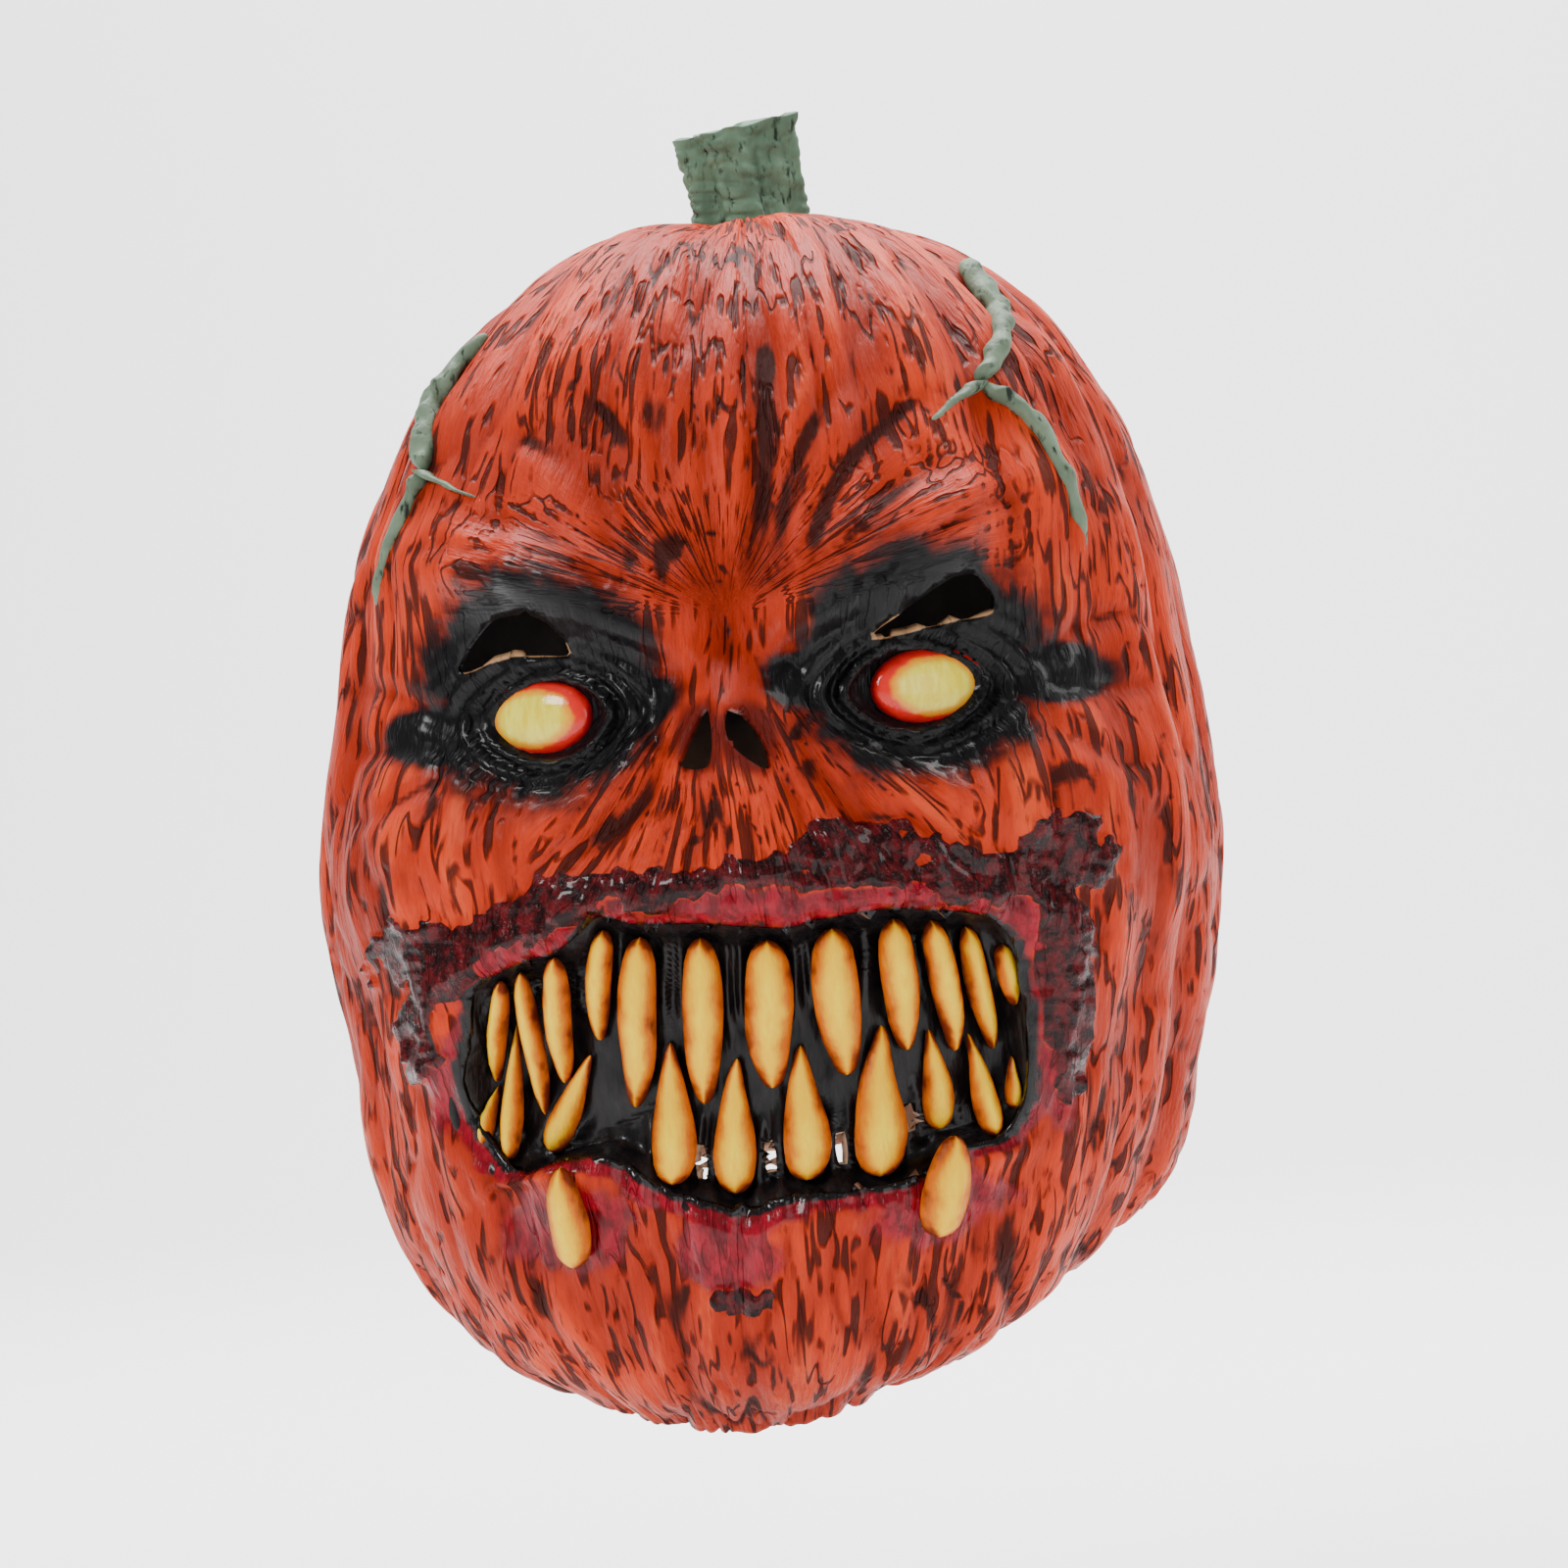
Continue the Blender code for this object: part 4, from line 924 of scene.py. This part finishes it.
def gum_rise(across, up):
    """How much the gums swell round the teeth's roots, from zero to one."""
    swell = np.zeros(across.shape)
    for tooth in UPPER_TEETH + LOWER_TEETH:
        root = in_metres((tooth.root_across, tooth.root_up))
        tip = in_metres((tooth.tip_across, tooth.tip_up))
        along, aside, _ = beside_line(across, up, root, tip)
        half = TOOTH_WIDTH * tooth.wide / 2
        collar = np.exp(-((np.abs(aside) - half * 1.10) / 0.0017) ** 2) * smooth_step((0.62 - along) / 0.35)
        swell = np.maximum(swell, collar * smooth_step((along + 0.2) / 0.15))
    return swell


def make_gums():
    """The glossy black gums behind the mouth, swollen round the teeth, with their cut slots."""
    sheet, shares = bmesh_grid(GUM_FINE_SPOKES, GUM_FINE_RINGS)
    middle = in_metres(MOUTH_MIDDLE)
    angle = 2 * math.pi * shares[:, 0]
    _, limit = mouth_reach(middle[0] + np.cos(angle), middle[1] + np.sin(angle))
    out = shares[:, 1] * (limit + GUM_MARGIN)
    spots = np.stack([middle[0] + np.cos(angle) * out, middle[1] + np.sin(angle) * out], -1)
    spots, state = snap_to_outlines(spots, out > 0.004, air_slots(), EDGE_REACH)
    across, up = spots.T
    places = on_gums(across, up)
    reach, _ = mouth_reach(across, up)
    well_in = smooth_step((1.02 - reach) / 0.15)
    folds = ripple(places * (1.0, 1.0, 0.30), 0.0045)
    places[:, 1] -= well_in * (GUM_RIDGE * gum_rise(across, up) + 0.0010 * folds)
    sheet.verts.index_update()
    place_points(sheet, places)
    open_holes(sheet, state)
    close_up(sheet)
    gums = new_piece("gums_skin", sheet, (black_gum(), raw_latex("gum_lining"), raw_latex("slot_latex")))
    wall = gums.modifiers.new("wall", "SOLIDIFY")
    wall.thickness = GUM_WALL
    wall.offset = -1
    wall.material_offset = 1
    wall.material_offset_rim = 2
    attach(gums, "root")
    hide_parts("gums")


def make_tooth(node, tooth, girths, surface, raise_by, material):
    """One tooth with a soft ridge down its face, a rounded root and a pointed tip."""
    root = surface(tooth.root_across * MASK_WIDTH / 2, tooth.root_up * MASK_HEIGHT)
    tip = surface(tooth.tip_across * MASK_WIDTH / 2, tooth.tip_up * MASK_HEIGHT)
    _, facing = on_face((tooth.root_across + tooth.tip_across) * MASK_WIDTH / 4,
                        (tooth.root_up + tooth.tip_up) * MASK_HEIGHT / 2)
    wide = TOOTH_WIDTH * tooth.wide
    thick = TOOTH_THICKNESS * (0.4 + 0.6 * tooth.wide)
    body = bmesh.new()
    bmesh.ops.create_uvsphere(body, u_segments=TOOTH_SEGMENTS, v_segments=TOOTH_LEVELS, radius=1.0)
    points = np.array([point.co for point in body.verts])
    along = (1 - points[:, 2]) / 2
    angle = np.arctan2(points[:, 1], points[:, 0])
    girth = np.interp(along, TOOTH_STATIONS, girths)
    run = (tip - root) / np.linalg.norm(tip - root)
    aside = np.cross(-run, facing)
    aside /= np.linalg.norm(aside)
    front = np.cross(aside, -run)
    side = np.cos(angle) * girth
    bulge = np.sin(angle)
    bulge = np.where(bulge > 0, bulge ** 1.15 * 0.92, bulge * 0.9) * girth
    bow = 0.05 * np.sin(math.pi * along) * np.linalg.norm(tip - root)
    middle = root + (tip - root) * along[:, None] + front * (bow[:, None] * 0.6 + thick * raise_by)
    places = middle + aside * (side * wide / 2)[:, None] + front * (bulge * thick / 2)[:, None]
    places += front * (0.00035 * ripple(places * (1, 1, 0.25), 0.0016))[:, None]
    places += aside * (0.0011 * ripple(middle, 0.017))[:, None]
    place_points(body, places)
    bmesh.ops.recalc_face_normals(body, faces=body.faces)
    piece = new_piece(node + "_painted", body, (material,))
    tooth_place = np.stack([side / np.maximum(girth, 0.05), along, bulge], -1)
    write_attribute(piece, "tooth_place", "FLOAT_VECTOR", tooth_place)
    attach(piece, "root")
    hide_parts(node)


def make_teeth():
    """Both rows of teeth and the two short teeth on the lower lip."""
    enamel = painted_tooth()
    for number, tooth in enumerate(UPPER_TEETH, 1):
        make_tooth(f"upper_tooth_{number:02d}", tooth, UPPER_GIRTHS, on_gums, TOOTH_RAISED, enamel)
    for number, tooth in enumerate(LOWER_TEETH, 1):
        make_tooth(f"lower_tooth_{number:02d}", tooth, LOWER_GIRTHS, on_gums, TOOTH_RAISED, enamel)
    for side, tooth in zip(("right", "left"), LIP_TEETH):
        make_tooth(f"lip_tooth_{side}", tooth, UPPER_GIRTHS, on_lip, LIP_TOOTH_RAISED, enamel)


def make_eyes():
    """The two painted eyeballs."""
    material = painted_eye()
    for node, spot in EYES:
        place, facing = on_face(spot.across * MASK_WIDTH / 2, spot.up * MASK_HEIGHT)
        ball = bmesh.new()
        bmesh.ops.create_uvsphere(ball, u_segments=EYE_SEGMENTS, v_segments=EYE_LEVELS, radius=1.0)
        points = np.array([point.co for point in ball.verts])
        turn = math.atan2(facing[0], -facing[1])
        aside = np.array((math.cos(turn), math.sin(turn), 0))
        front = np.array((math.sin(turn), -math.cos(turn), 0))
        centre = place + facing * (EYE_PROUD - EYE_THICKNESS / 2 + GAP)
        places = centre + (points[:, :1] * aside * EYE_WIDTH / 2 + points[:, 1:2] * front * EYE_THICKNESS / 2
                           + points[:, 2:] * np.array((0, 0, EYE_HEIGHT / 2)))
        place_points(ball, places)
        bmesh.ops.recalc_face_normals(ball, faces=ball.faces)
        eye = new_piece(node + "_painted", ball, (material,))
        write_attribute(eye, "eye_place", "FLOAT_VECTOR", points)
        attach(eye, "root")
        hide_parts(node)


def make_stem():
    """The cut stem, fluted and creased, flaring at its top."""
    sheet, shares = bmesh_grid(STEM_COLUMNS, STEM_ROWS)
    angle = 2 * math.pi * shares[:, 0]
    way = shares[:, 1]
    under = smooth_step(way / 0.06)
    rise = np.clip((way - 0.06) / 0.70, 0, 1)
    top = np.clip((way - 0.76) / 0.24, 0, 1)
    twisted = angle + 0.35 * rise
    flute = 1 + STEM_FLUTE_DEPTH * np.cos(STEM_FLUTES * twisted + 0.6) + 0.05 * np.cos(11 * twisted + 1.0)
    flare = 1 + STEM_FOOT_FLARE * (1 - rise) ** 3 + STEM_TOP_FLARE * rise ** 3
    out = STEM_WIDTH / 2 / (1 + STEM_FLUTE_DEPTH) * flute * flare * under * (1 - top)
    slant = STEM_TOP_SLANT * np.sin(angle + 0.9) * rise * (1 - top)
    height = STEM_HEIGHT * (1 + slant) - 0.0030 * smooth_step(top / 0.5)
    up = STEM_FOOT.up * MASK_HEIGHT - HEAD_SEAT_UP - STEM_SUNK + rise * (height + STEM_SUNK)
    foot = STEM_FOOT.across * MASK_WIDTH / 2
    across = foot + out * np.cos(angle) + STEM_LEAN * rise
    places = np.stack([across, out * np.sin(angle) * STEM_FLATNESS, up], -1)
    away = np.stack([np.cos(angle), np.sin(angle), 0 * angle], -1)
    streaks = np.abs(ripple(places * (1, 1, 0.25), 0.0045))
    creases = np.abs(ripple(places * (0.45, 0.45, 1.3), 0.0050))
    rough = 0.0030 * np.minimum(streaks, 0.4) + 0.0026 * np.minimum(creases, 0.4) - 0.0012
    places += away * (rough * under * (1 - top))[:, None]
    places[:, 2] += 0.0009 * rise * ripple(places, 0.005)
    place_points(sheet, places)
    close_up(sheet)
    stem = new_piece("stem_painted", sheet, (painted_green("stem_green", (0.110, 0.195, 0.125)),))
    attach(stem, "root")
    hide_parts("stem")


def vine_branch(bends, thick_start, thick_end):
    """One branch of a vine lying on the skin, closed at both ends."""
    sheet, shares = bmesh_grid(VINE_COLUMNS, VINE_ROWS)
    way = shares[:, 1] * (len(bends) - 1)
    spots = np.array(bends)
    turns = np.radians(np.interp(way, range(len(bends)), spots[:, 0]))
    rows = np.interp(way, range(len(bends)), spots[:, 1])
    wander = ripple(np.stack([turns * 0.1, rows * 0.03, 0 * rows], -1), 0.008)
    turns = turns + 0.012 * wander
    middle, facing = skin(turns, rows), facing_of(form, turns, rows)
    ahead = skin(turns, rows + 0.02) - middle
    aside = np.cross(facing, ahead)
    aside /= np.linalg.norm(aside, axis=-1, keepdims=True)
    share = shares[:, 1]
    girth = thick_start + (thick_end - thick_start) * share
    girth = girth * np.sqrt(np.clip(np.minimum(share, 1 - share) / 0.10, 0, 1))
    girth = girth * (1 + 0.45 * ripple(middle, 0.0085))
    angle = 2 * math.pi * shares[:, 0]
    places = (middle + aside * (np.cos(angle) * girth * VINE_WIDTH / 2)[:, None]
              + facing * ((np.sin(angle) + 0.25) * girth * VINE_RISE)[:, None])
    places += facing * (0.0016 * girth * ripple(places * (1, 1, 0.6), 0.0040))[:, None]
    place_points(sheet, places)
    close_up(sheet)
    return sheet


def make_vines():
    """The raised grey-green vines on the forehead."""
    green = painted_green("vine_green", (0.130, 0.180, 0.120))
    for node, routes in VINES.items():
        whole = bmesh.new()
        for number, bends in enumerate(routes):
            sheet = vine_branch(bends, 1.0 if number == 0 else 0.9, 0.9 if number == 0 else 0.4)
            branch = bpy.data.meshes.new("branch")
            sheet.to_mesh(branch)
            sheet.free()
            whole.from_mesh(branch)
            bpy.data.meshes.remove(branch)
        vine = new_piece(node + "_painted", whole, (green,))
        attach(vine, "root")
        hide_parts(node)


class Socket:
    """A shader value that Python's arithmetic works on."""

    def __init__(self, tree, link):
        self.tree, self.link = tree, link

    def math(self, operation, *others, clamp=False):
        """One Math node on this value and others."""
        node = self.tree.nodes.new("ShaderNodeMath")
        node.operation = operation
        node.use_clamp = clamp
        for slot, value in zip(node.inputs, (self,) + others):
            plug(self.tree, slot, value)
        return Socket(self.tree, node.outputs[0])

    def __add__(self, other):
        return self.math("ADD", other)

    def __sub__(self, other):
        return self.math("SUBTRACT", other)

    def __rsub__(self, other):
        return self.math("MULTIPLY", -1.0) + other

    def __mul__(self, other):
        return self.math("MULTIPLY", other)

    def __truediv__(self, other):
        return self.math("DIVIDE", other)

    def __pow__(self, other):
        return self.math("POWER", other)

    __radd__ = __add__
    __rmul__ = __mul__

    def between(self, low, high):
        """Zero below one value and one above another, soft between."""
        node = self.tree.nodes.new("ShaderNodeMapRange")
        node.interpolation_type = "SMOOTHSTEP"
        plug(self.tree, node.inputs["Value"], self)
        plug(self.tree, node.inputs["From Min"], low)
        plug(self.tree, node.inputs["From Max"], high)
        return Socket(self.tree, node.outputs["Result"])

    def larger(self, other):
        """The larger of two values."""
        return self.math("MAXIMUM", other)

    def clipped(self):
        """This value kept between zero and one."""
        return self.math("ADD", 0.0, clamp=True)


def plug(tree, slot, value):
    """Give a node's socket a number, a colour, a vector or a link."""
    if isinstance(value, Socket):
        tree.links.new(value.link, slot)
    else:
        slot.default_value = value


class Finish:
    """A material in the making."""

    def __init__(self, name):
        self.material = bpy.data.materials.new(name)
        self.material.use_nodes = True
        self.tree = self.material.node_tree
        self.shader = self.tree.nodes["Principled BSDF"]

    def node(self, kind, output, settings=None, **values):
        """Any node: its settings first, then its sockets."""
        made = self.tree.nodes.new(kind)
        for name, value in (settings or {}).items():
            setattr(made, name, value)
        for name, value in values.items():
            plug(self.tree, made.inputs[name.replace("_", " ")], value)
        return Socket(self.tree, made.outputs[output])

    def place(self):
        """Where a point lies in the frame, in metres."""
        return self.node("ShaderNodeTexCoord", "Object")

    def attribute(self, name, output="Fac"):
        """A value or vector kept on the piece's points."""
        return self.node("ShaderNodeAttribute", output, {"attribute_name": name})

    def parts(self, vector):
        """A vector's three numbers."""
        split = self.tree.nodes.new("ShaderNodeSeparateXYZ")
        plug(self.tree, split.inputs[0], vector)
        return [Socket(self.tree, one) for one in split.outputs]

    def grain(self, vector, scale, detail=2.0, rough=0.5):
        """Noise between zero and one."""
        return self.node("ShaderNodeTexNoise", "Fac", Vector=vector, Scale=scale, Detail=detail, Roughness=rough)

    def stretched(self, vector, shares):
        """A vector with each of its numbers multiplied by a share."""
        made = self.tree.nodes.new("ShaderNodeVectorMath")
        made.operation = "MULTIPLY"
        plug(self.tree, made.inputs[0], vector)
        plug(self.tree, made.inputs[1], shares)
        return Socket(self.tree, made.outputs[0])

    def mix(self, share, first, second):
        """A colour between two. A Mix node's colours are its inputs 6 and 7 and its output 2."""
        made = self.tree.nodes.new("ShaderNodeMix")
        made.data_type = "RGBA"
        for number, value in ((0, share), (6, first), (7, second)):
            if isinstance(value, tuple):
                value = (*value, 1.0)
            plug(self.tree, made.inputs[number], value)
        return Socket(self.tree, made.outputs[2])

    def finish(self, colour, roughness, height=None, coat=None, specular=0.15):
        """The material, with its colour, gloss and relief plugged in."""
        if isinstance(colour, tuple):
            colour = (*colour, 1.0)
        plug(self.tree, self.shader.inputs["Base Color"], colour)
        plug(self.tree, self.shader.inputs["Roughness"], roughness)
        self.shader.inputs["Specular IOR Level"].default_value = specular
        if coat is not None:
            plug(self.tree, self.shader.inputs["Coat Weight"], coat)
            self.shader.inputs["Coat Roughness"].default_value = 0.12
        if height is not None:
            bump = self.tree.nodes.new("ShaderNodeBump")
            bump.inputs["Distance"].default_value = 1.0
            plug(self.tree, bump.inputs["Height"], height)
            self.tree.links.new(bump.outputs["Normal"], self.shader.inputs["Normal"])
        return self.material


def painted_skin():
    """Orange latex with a brown-black wash in its wrinkles, black sockets, raw lips and torn flesh, painted
    shade in its hollows and round its nostrils, and painted highlights on its crests.
    """
    skin_finish = Finish("painted_skin")
    place = skin_finish.place()
    drum, fan = (skin_finish.attribute(name, "Vector") for name in ("drum", "fan"))
    fan_share, groove = skin_finish.attribute("fan_share"), skin_finish.attribute("groove")
    nostril_paint_and_shade, crest_paint_and_light = skin_finish.attribute("nostril_paint_and_shade"), skin_finish.attribute("crest_paint_and_light")
    cut_edge = skin_finish.attribute("cut_edge")
    black, raw, torn = skin_finish.parts(skin_finish.attribute("paints", "Vector"))

    def drawn(scale, detail, rough=0.5):
        return (skin_finish.grain(drum, scale, detail, rough) * (1 - fan_share)
                + skin_finish.grain(fan, scale * 1.1, detail, rough) * fan_share)

    clouds = skin_finish.grain(place, 22, 3)
    broken = skin_finish.grain(place, 75, 2)
    spindles = drawn(310, 1.5)
    lines = drawn(175, 1.0)
    hairs = drawn(620, 2.5, 0.6)
    pores = skin_finish.grain(place, 900, 2)
    near_line = (lines - 0.5).math("ABSOLUTE")
    thin_marks = (1 - near_line.between(0.010, 0.032)) * broken.between(0.46, 0.56)
    marks = (spindles + clouds * 0.25 - 0.125).between(0.565, 0.635)
    fine_marks = hairs.between(0.58, 0.68) * clouds.between(0.42, 0.60)
    creases = (groove + (hairs - 0.5) * 0.5).between(0.38, 0.80)
    dark = (marks * 0.85).larger(thin_marks * 0.85).larger(fine_marks * 0.55).larger(creases * 0.92)

    orange = skin_finish.mix(clouds.between(0.36, 0.64), (0.400, 0.025, 0.007), (0.600, 0.042, 0.010))
    orange = skin_finish.mix(hairs.between(0.40, 0.62) * 0.40, orange, (0.260, 0.019, 0.006))
    # The orange darkened in the hollows, part wash and part painted shade, and lightened on the crests, part
    # dry-brushing and part painted highlight.
    hollow = (crest_paint_and_light + (hairs - 0.5) * 0.5).between(0.75, 0.05)
    orange = skin_finish.mix(hollow * 0.75, orange, (0.200, 0.014, 0.005))
    ridge = (crest_paint_and_light + (hairs - 0.5) * 0.6).between(0.78, 1.05)
    orange = skin_finish.mix(ridge * 0.6, orange, (0.760, 0.088, 0.026))
    colour = skin_finish.mix(dark, orange, (0.014, 0.0034, 0.0024))
    # Dark red-brown round the nostrils, part paint and part painted shade.
    colour = skin_finish.mix(nostril_paint_and_shade, colour, (0.120, 0.008, 0.004))
    soot = skin_finish.grain(place, 130, 4, 0.6)
    sooty = (black + (soot - 0.5) * 0.6 * (black * (1 - black) * 4).clipped()).between(0.10, 0.80)
    colour = skin_finish.mix(sooty, colour, (0.0050, 0.0046, 0.0055))
    meat = skin_finish.grain(skin_finish.stretched(place, (1.0, 1.0, 0.35)), 260, 3, 0.6)
    crimson = skin_finish.mix(meat.between(0.35, 0.65), (0.110, 0.002, 0.006), (0.300, 0.004, 0.016))
    bare = (1 - black).between(0.0, 0.6)
    colour = skin_finish.mix((raw + (meat - 0.5) * 0.3).between(0.15, 0.90) * bare, colour, crimson)
    clots = skin_finish.grain(place, 300, 3, 0.6)
    maroon = skin_finish.mix(clots.between(0.38, 0.68), (0.012, 0.0008, 0.0012), (0.105, 0.0040, 0.0065))
    flesh = (torn + (clots - 0.5) * 0.4).between(0.40, 0.60)
    colour = skin_finish.mix(flesh, colour, maroon)
    colour = skin_finish.mix(cut_edge.between(0.72, 0.92), colour, (0.400, 0.220, 0.110))

    wet = flesh.larger(raw.between(0.3, 0.7))
    roughness = 0.38 + pores * 0.12 + dark * 0.12 - sooty * 0.12 - wet * 0.20
    height = (marks * -0.00090 + thin_marks * -0.00080 + fine_marks * -0.00035 + (hairs - 0.5) * 0.00080
              + (pores - 0.5) * 0.00004 + flesh * (clots - 0.5) * 0.0012 + raw * (meat - 0.5) * 0.0008)
    gloss = wet * 0.28 + sooty * 0.16
    return skin_finish.finish(colour, roughness.clipped(), height, coat=gloss, specular=0.10)


def lining_with_painted_shade():
    """The inside of the shell: bare tan latex, with painted shade darkening it towards the crown."""
    lining = Finish("lining_with_painted_shade")
    place = lining.place()
    _, _, high = lining.parts(place)
    cloud = lining.grain(place, 35, 3)
    # Painted shade: the tan latex turns near black towards the crown.
    dark = (high + (cloud - 0.5) * 0.05).between(-0.20, -0.12)
    tan = lining.mix(cloud, (0.240, 0.120, 0.075), (0.330, 0.180, 0.115))
    colour = lining.mix(dark, tan, (0.018, 0.016, 0.016))
    return lining.finish(colour, 0.6, (lining.grain(place, 500, 2) - 0.5) * 0.0001)


def raw_latex(name):
    """Unpainted latex, pinkish tan."""
    latex = Finish(name)
    cloud = latex.grain(latex.place(), 35, 3)
    colour = latex.mix(cloud, (0.400, 0.240, 0.150), (0.520, 0.330, 0.220))
    return latex.finish(colour, 0.55, (latex.grain(latex.place(), 500, 2) - 0.5) * 0.0001)


def black_gum():
    """Black paint, glossy, with folds."""
    gum = Finish("black_gum_paint")
    folds = gum.grain(gum.stretched(gum.place(), (1.0, 1.0, 0.3)), 420, 3)
    colour = gum.mix(folds.between(0.35, 0.7), (0.0045, 0.0040, 0.0045), (0.013, 0.0095, 0.0100))
    return gum.finish(colour, 0.24 + folds * 0.15, (folds - 0.5) * 0.0006, coat=0.2)


def painted_tooth():
    """Yellow in the middle, through orange to brown at the edges, the root and the tip, part paint and part
    painted shade of the rounded tooth, with a painted highlight down its front.
    """
    tooth = Finish("painted_tooth")
    side, along, bulge = tooth.parts(tooth.attribute("tooth_place", "Vector"))
    place = tooth.place()
    cloud = tooth.grain(place, 120, 3)
    streak = tooth.grain(tooth.stretched(place, (1.0, 1.0, 0.22)), 700, 3, 0.6)
    edge = side.math("ABSOLUTE") + (cloud - 0.5) * 0.8 + (streak - 0.5) * 0.35
    ends = (0.14 - along).between(0.0, 0.16) + (along - 0.72).between(0.0, 0.30) * 0.8
    # Yellow to orange across the tooth: part paint, part painted shade of its rounded sides.
    amber = (edge + ends * 0.6).between(0.20, 0.85)
    colour = tooth.mix(amber, (0.900, 0.500, 0.000), (0.560, 0.110, 0.000))
    # Brown at the edges, the root and the tip: part brown paint, part painted shade.
    brown_edge_paint_and_shade = (edge + ends * 0.9 + (cloud - 0.5) * 1.2).between(0.80, 1.35)
    colour = tooth.mix(brown_edge_paint_and_shade, colour, (0.140, 0.016, 0.001))
    # A painted highlight: bright yellow down the front of the tooth's bulge.
    tooth_painted_highlight = (bulge - edge * 0.6).between(0.62, 0.92) * streak.between(0.30, 0.60)
    colour = tooth.mix(tooth_painted_highlight * 0.6, colour, (0.950, 0.720, 0.010))
    return tooth.finish(colour, 0.34 + streak * 0.14, (streak - 0.5) * 0.00035 + (cloud - 0.5) * 0.0003)


def painted_eye():
    """A yellow eyeball with an uneven red rim under gloss."""
    eye = Finish("painted_eye")
    side, _, high = eye.parts(eye.attribute("eye_place", "Vector"))
    place = eye.place()
    cloud = eye.grain(place, 190, 3, 0.6)
    reach = (side * side + high * high) ** 0.5 + (cloud - 0.5) * 0.16
    fibres = eye.grain(eye.stretched(place, (1.0, 1.0, 0.25)), 500, 3, 0.6)
    yellow = eye.mix(fibres.between(0.35, 0.65), (0.780, 0.600, 0.020), (0.860, 0.740, 0.070))
    colour = eye.mix(reach.between(0.52, 0.72), yellow, (0.850, 0.300, 0.010))
    colour = eye.mix(reach.between(0.70, 0.80), colour, (0.750, 0.018, 0.012))
    colour = eye.mix(reach.between(0.90, 1.02), colour, (0.300, 0.004, 0.006))
    return eye.finish(colour, 0.12, (cloud - 0.5) * 0.0005, coat=0.6)


def painted_green(name, green):
    """Grey-green paint with dark creases."""
    vine = Finish(name)
    place = vine.place()
    streak = vine.grain(vine.stretched(place, (1.0, 1.0, 0.35)), 380, 3, 0.6)
    cloud = vine.grain(place, 90, 3)
    dull, bright = (tuple(share * part for part in green) for share in (0.75, 1.25))
    colour = vine.mix(cloud.between(0.3, 0.7), dull, bright)
    colour = vine.mix(streak.between(0.54, 0.70), colour, (0.012, 0.020, 0.013))
    return vine.finish(colour, 0.50, (streak - 0.5) * -0.0006)


def set_stage():
    """A pale seamless floor, a soft white world and soft lights."""
    sweep = bmesh.new()
    bmesh.ops.create_grid(sweep, x_segments=2, y_segments=60, size=0.5)
    for point in sweep.verts:
        way = point.co.y + 0.5
        bend = min(max((way - FLOOR_SHARE) / BEND_SHARE, 0), 1)
        angle = bend * math.pi / 2
        deep = FLOOR_FRONT + FLOOR_RUN * min(way, FLOOR_SHARE) / FLOOR_SHARE + BEND_RADIUS * math.sin(angle)
        high = BEND_RADIUS * (1 - math.cos(angle)) + max(way - FLOOR_SHARE - BEND_SHARE, 0) * WALL_RISE
        point.co = (point.co.x * FLOOR_WIDTH, deep, FLOOR_LEVEL + high)
    pale = Finish("pale_floor")
    floor = new_piece("floor_sweep", sweep, (pale.finish((0.86, 0.86, 0.86), 0.9),))

    world = bpy.data.worlds.new("studio")
    world.use_nodes = True
    world.node_tree.nodes["Background"].inputs["Color"].default_value = (1.0, 1.0, 1.0, 1.0)
    world.node_tree.nodes["Background"].inputs["Strength"].default_value = WORLD_STRENGTH
    bpy.context.scene.world = world
    for name, place, size, power in LAMPS:
        lamp = bpy.data.lights.new(name, "AREA")
        lamp.size = size
        lamp.energy = power
        light = bpy.data.objects.new(name, lamp)
        light.location = place
        aim = Vector((0, 2.0 if name == "backdrop" else 0, -0.17)) - Vector(place)
        light.rotation_euler = aim.to_track_quat("-Z", "Y").to_euler()
        bpy.context.scene.collection.objects.link(light)


def set_camera():
    """The photograph's view: a little to the wearer's left, level, with the mask leaning in the frame."""
    turn, roll = math.radians(VIEW_TURN), math.radians(VIEW_ROLL)
    right = Vector((math.cos(turn), math.sin(turn), 0))
    back = Vector((math.sin(turn), -math.cos(turn), 0))
    up = Vector((0, 0, 1))
    target = right * VIEW_ASIDE + up * (VIEW_UP - HEAD_SEAT_UP)
    lens = bpy.data.cameras.new("view")
    lens.lens = VIEW_LENS
    camera = bpy.data.objects.new("view", lens)
    across = right * math.cos(roll) - up * math.sin(roll)
    high = right * math.sin(roll) + up * math.cos(roll)
    camera.matrix_world = Matrix((across, high, back)).transposed().to_4x4()
    camera.location = target + back * VIEW_DISTANCE
    bpy.context.scene.collection.objects.link(camera)
    bpy.context.scene.camera = camera


make_skin()
make_gums()
make_teeth()
make_eyes()
make_stem()
make_vines()
set_stage()
set_camera()
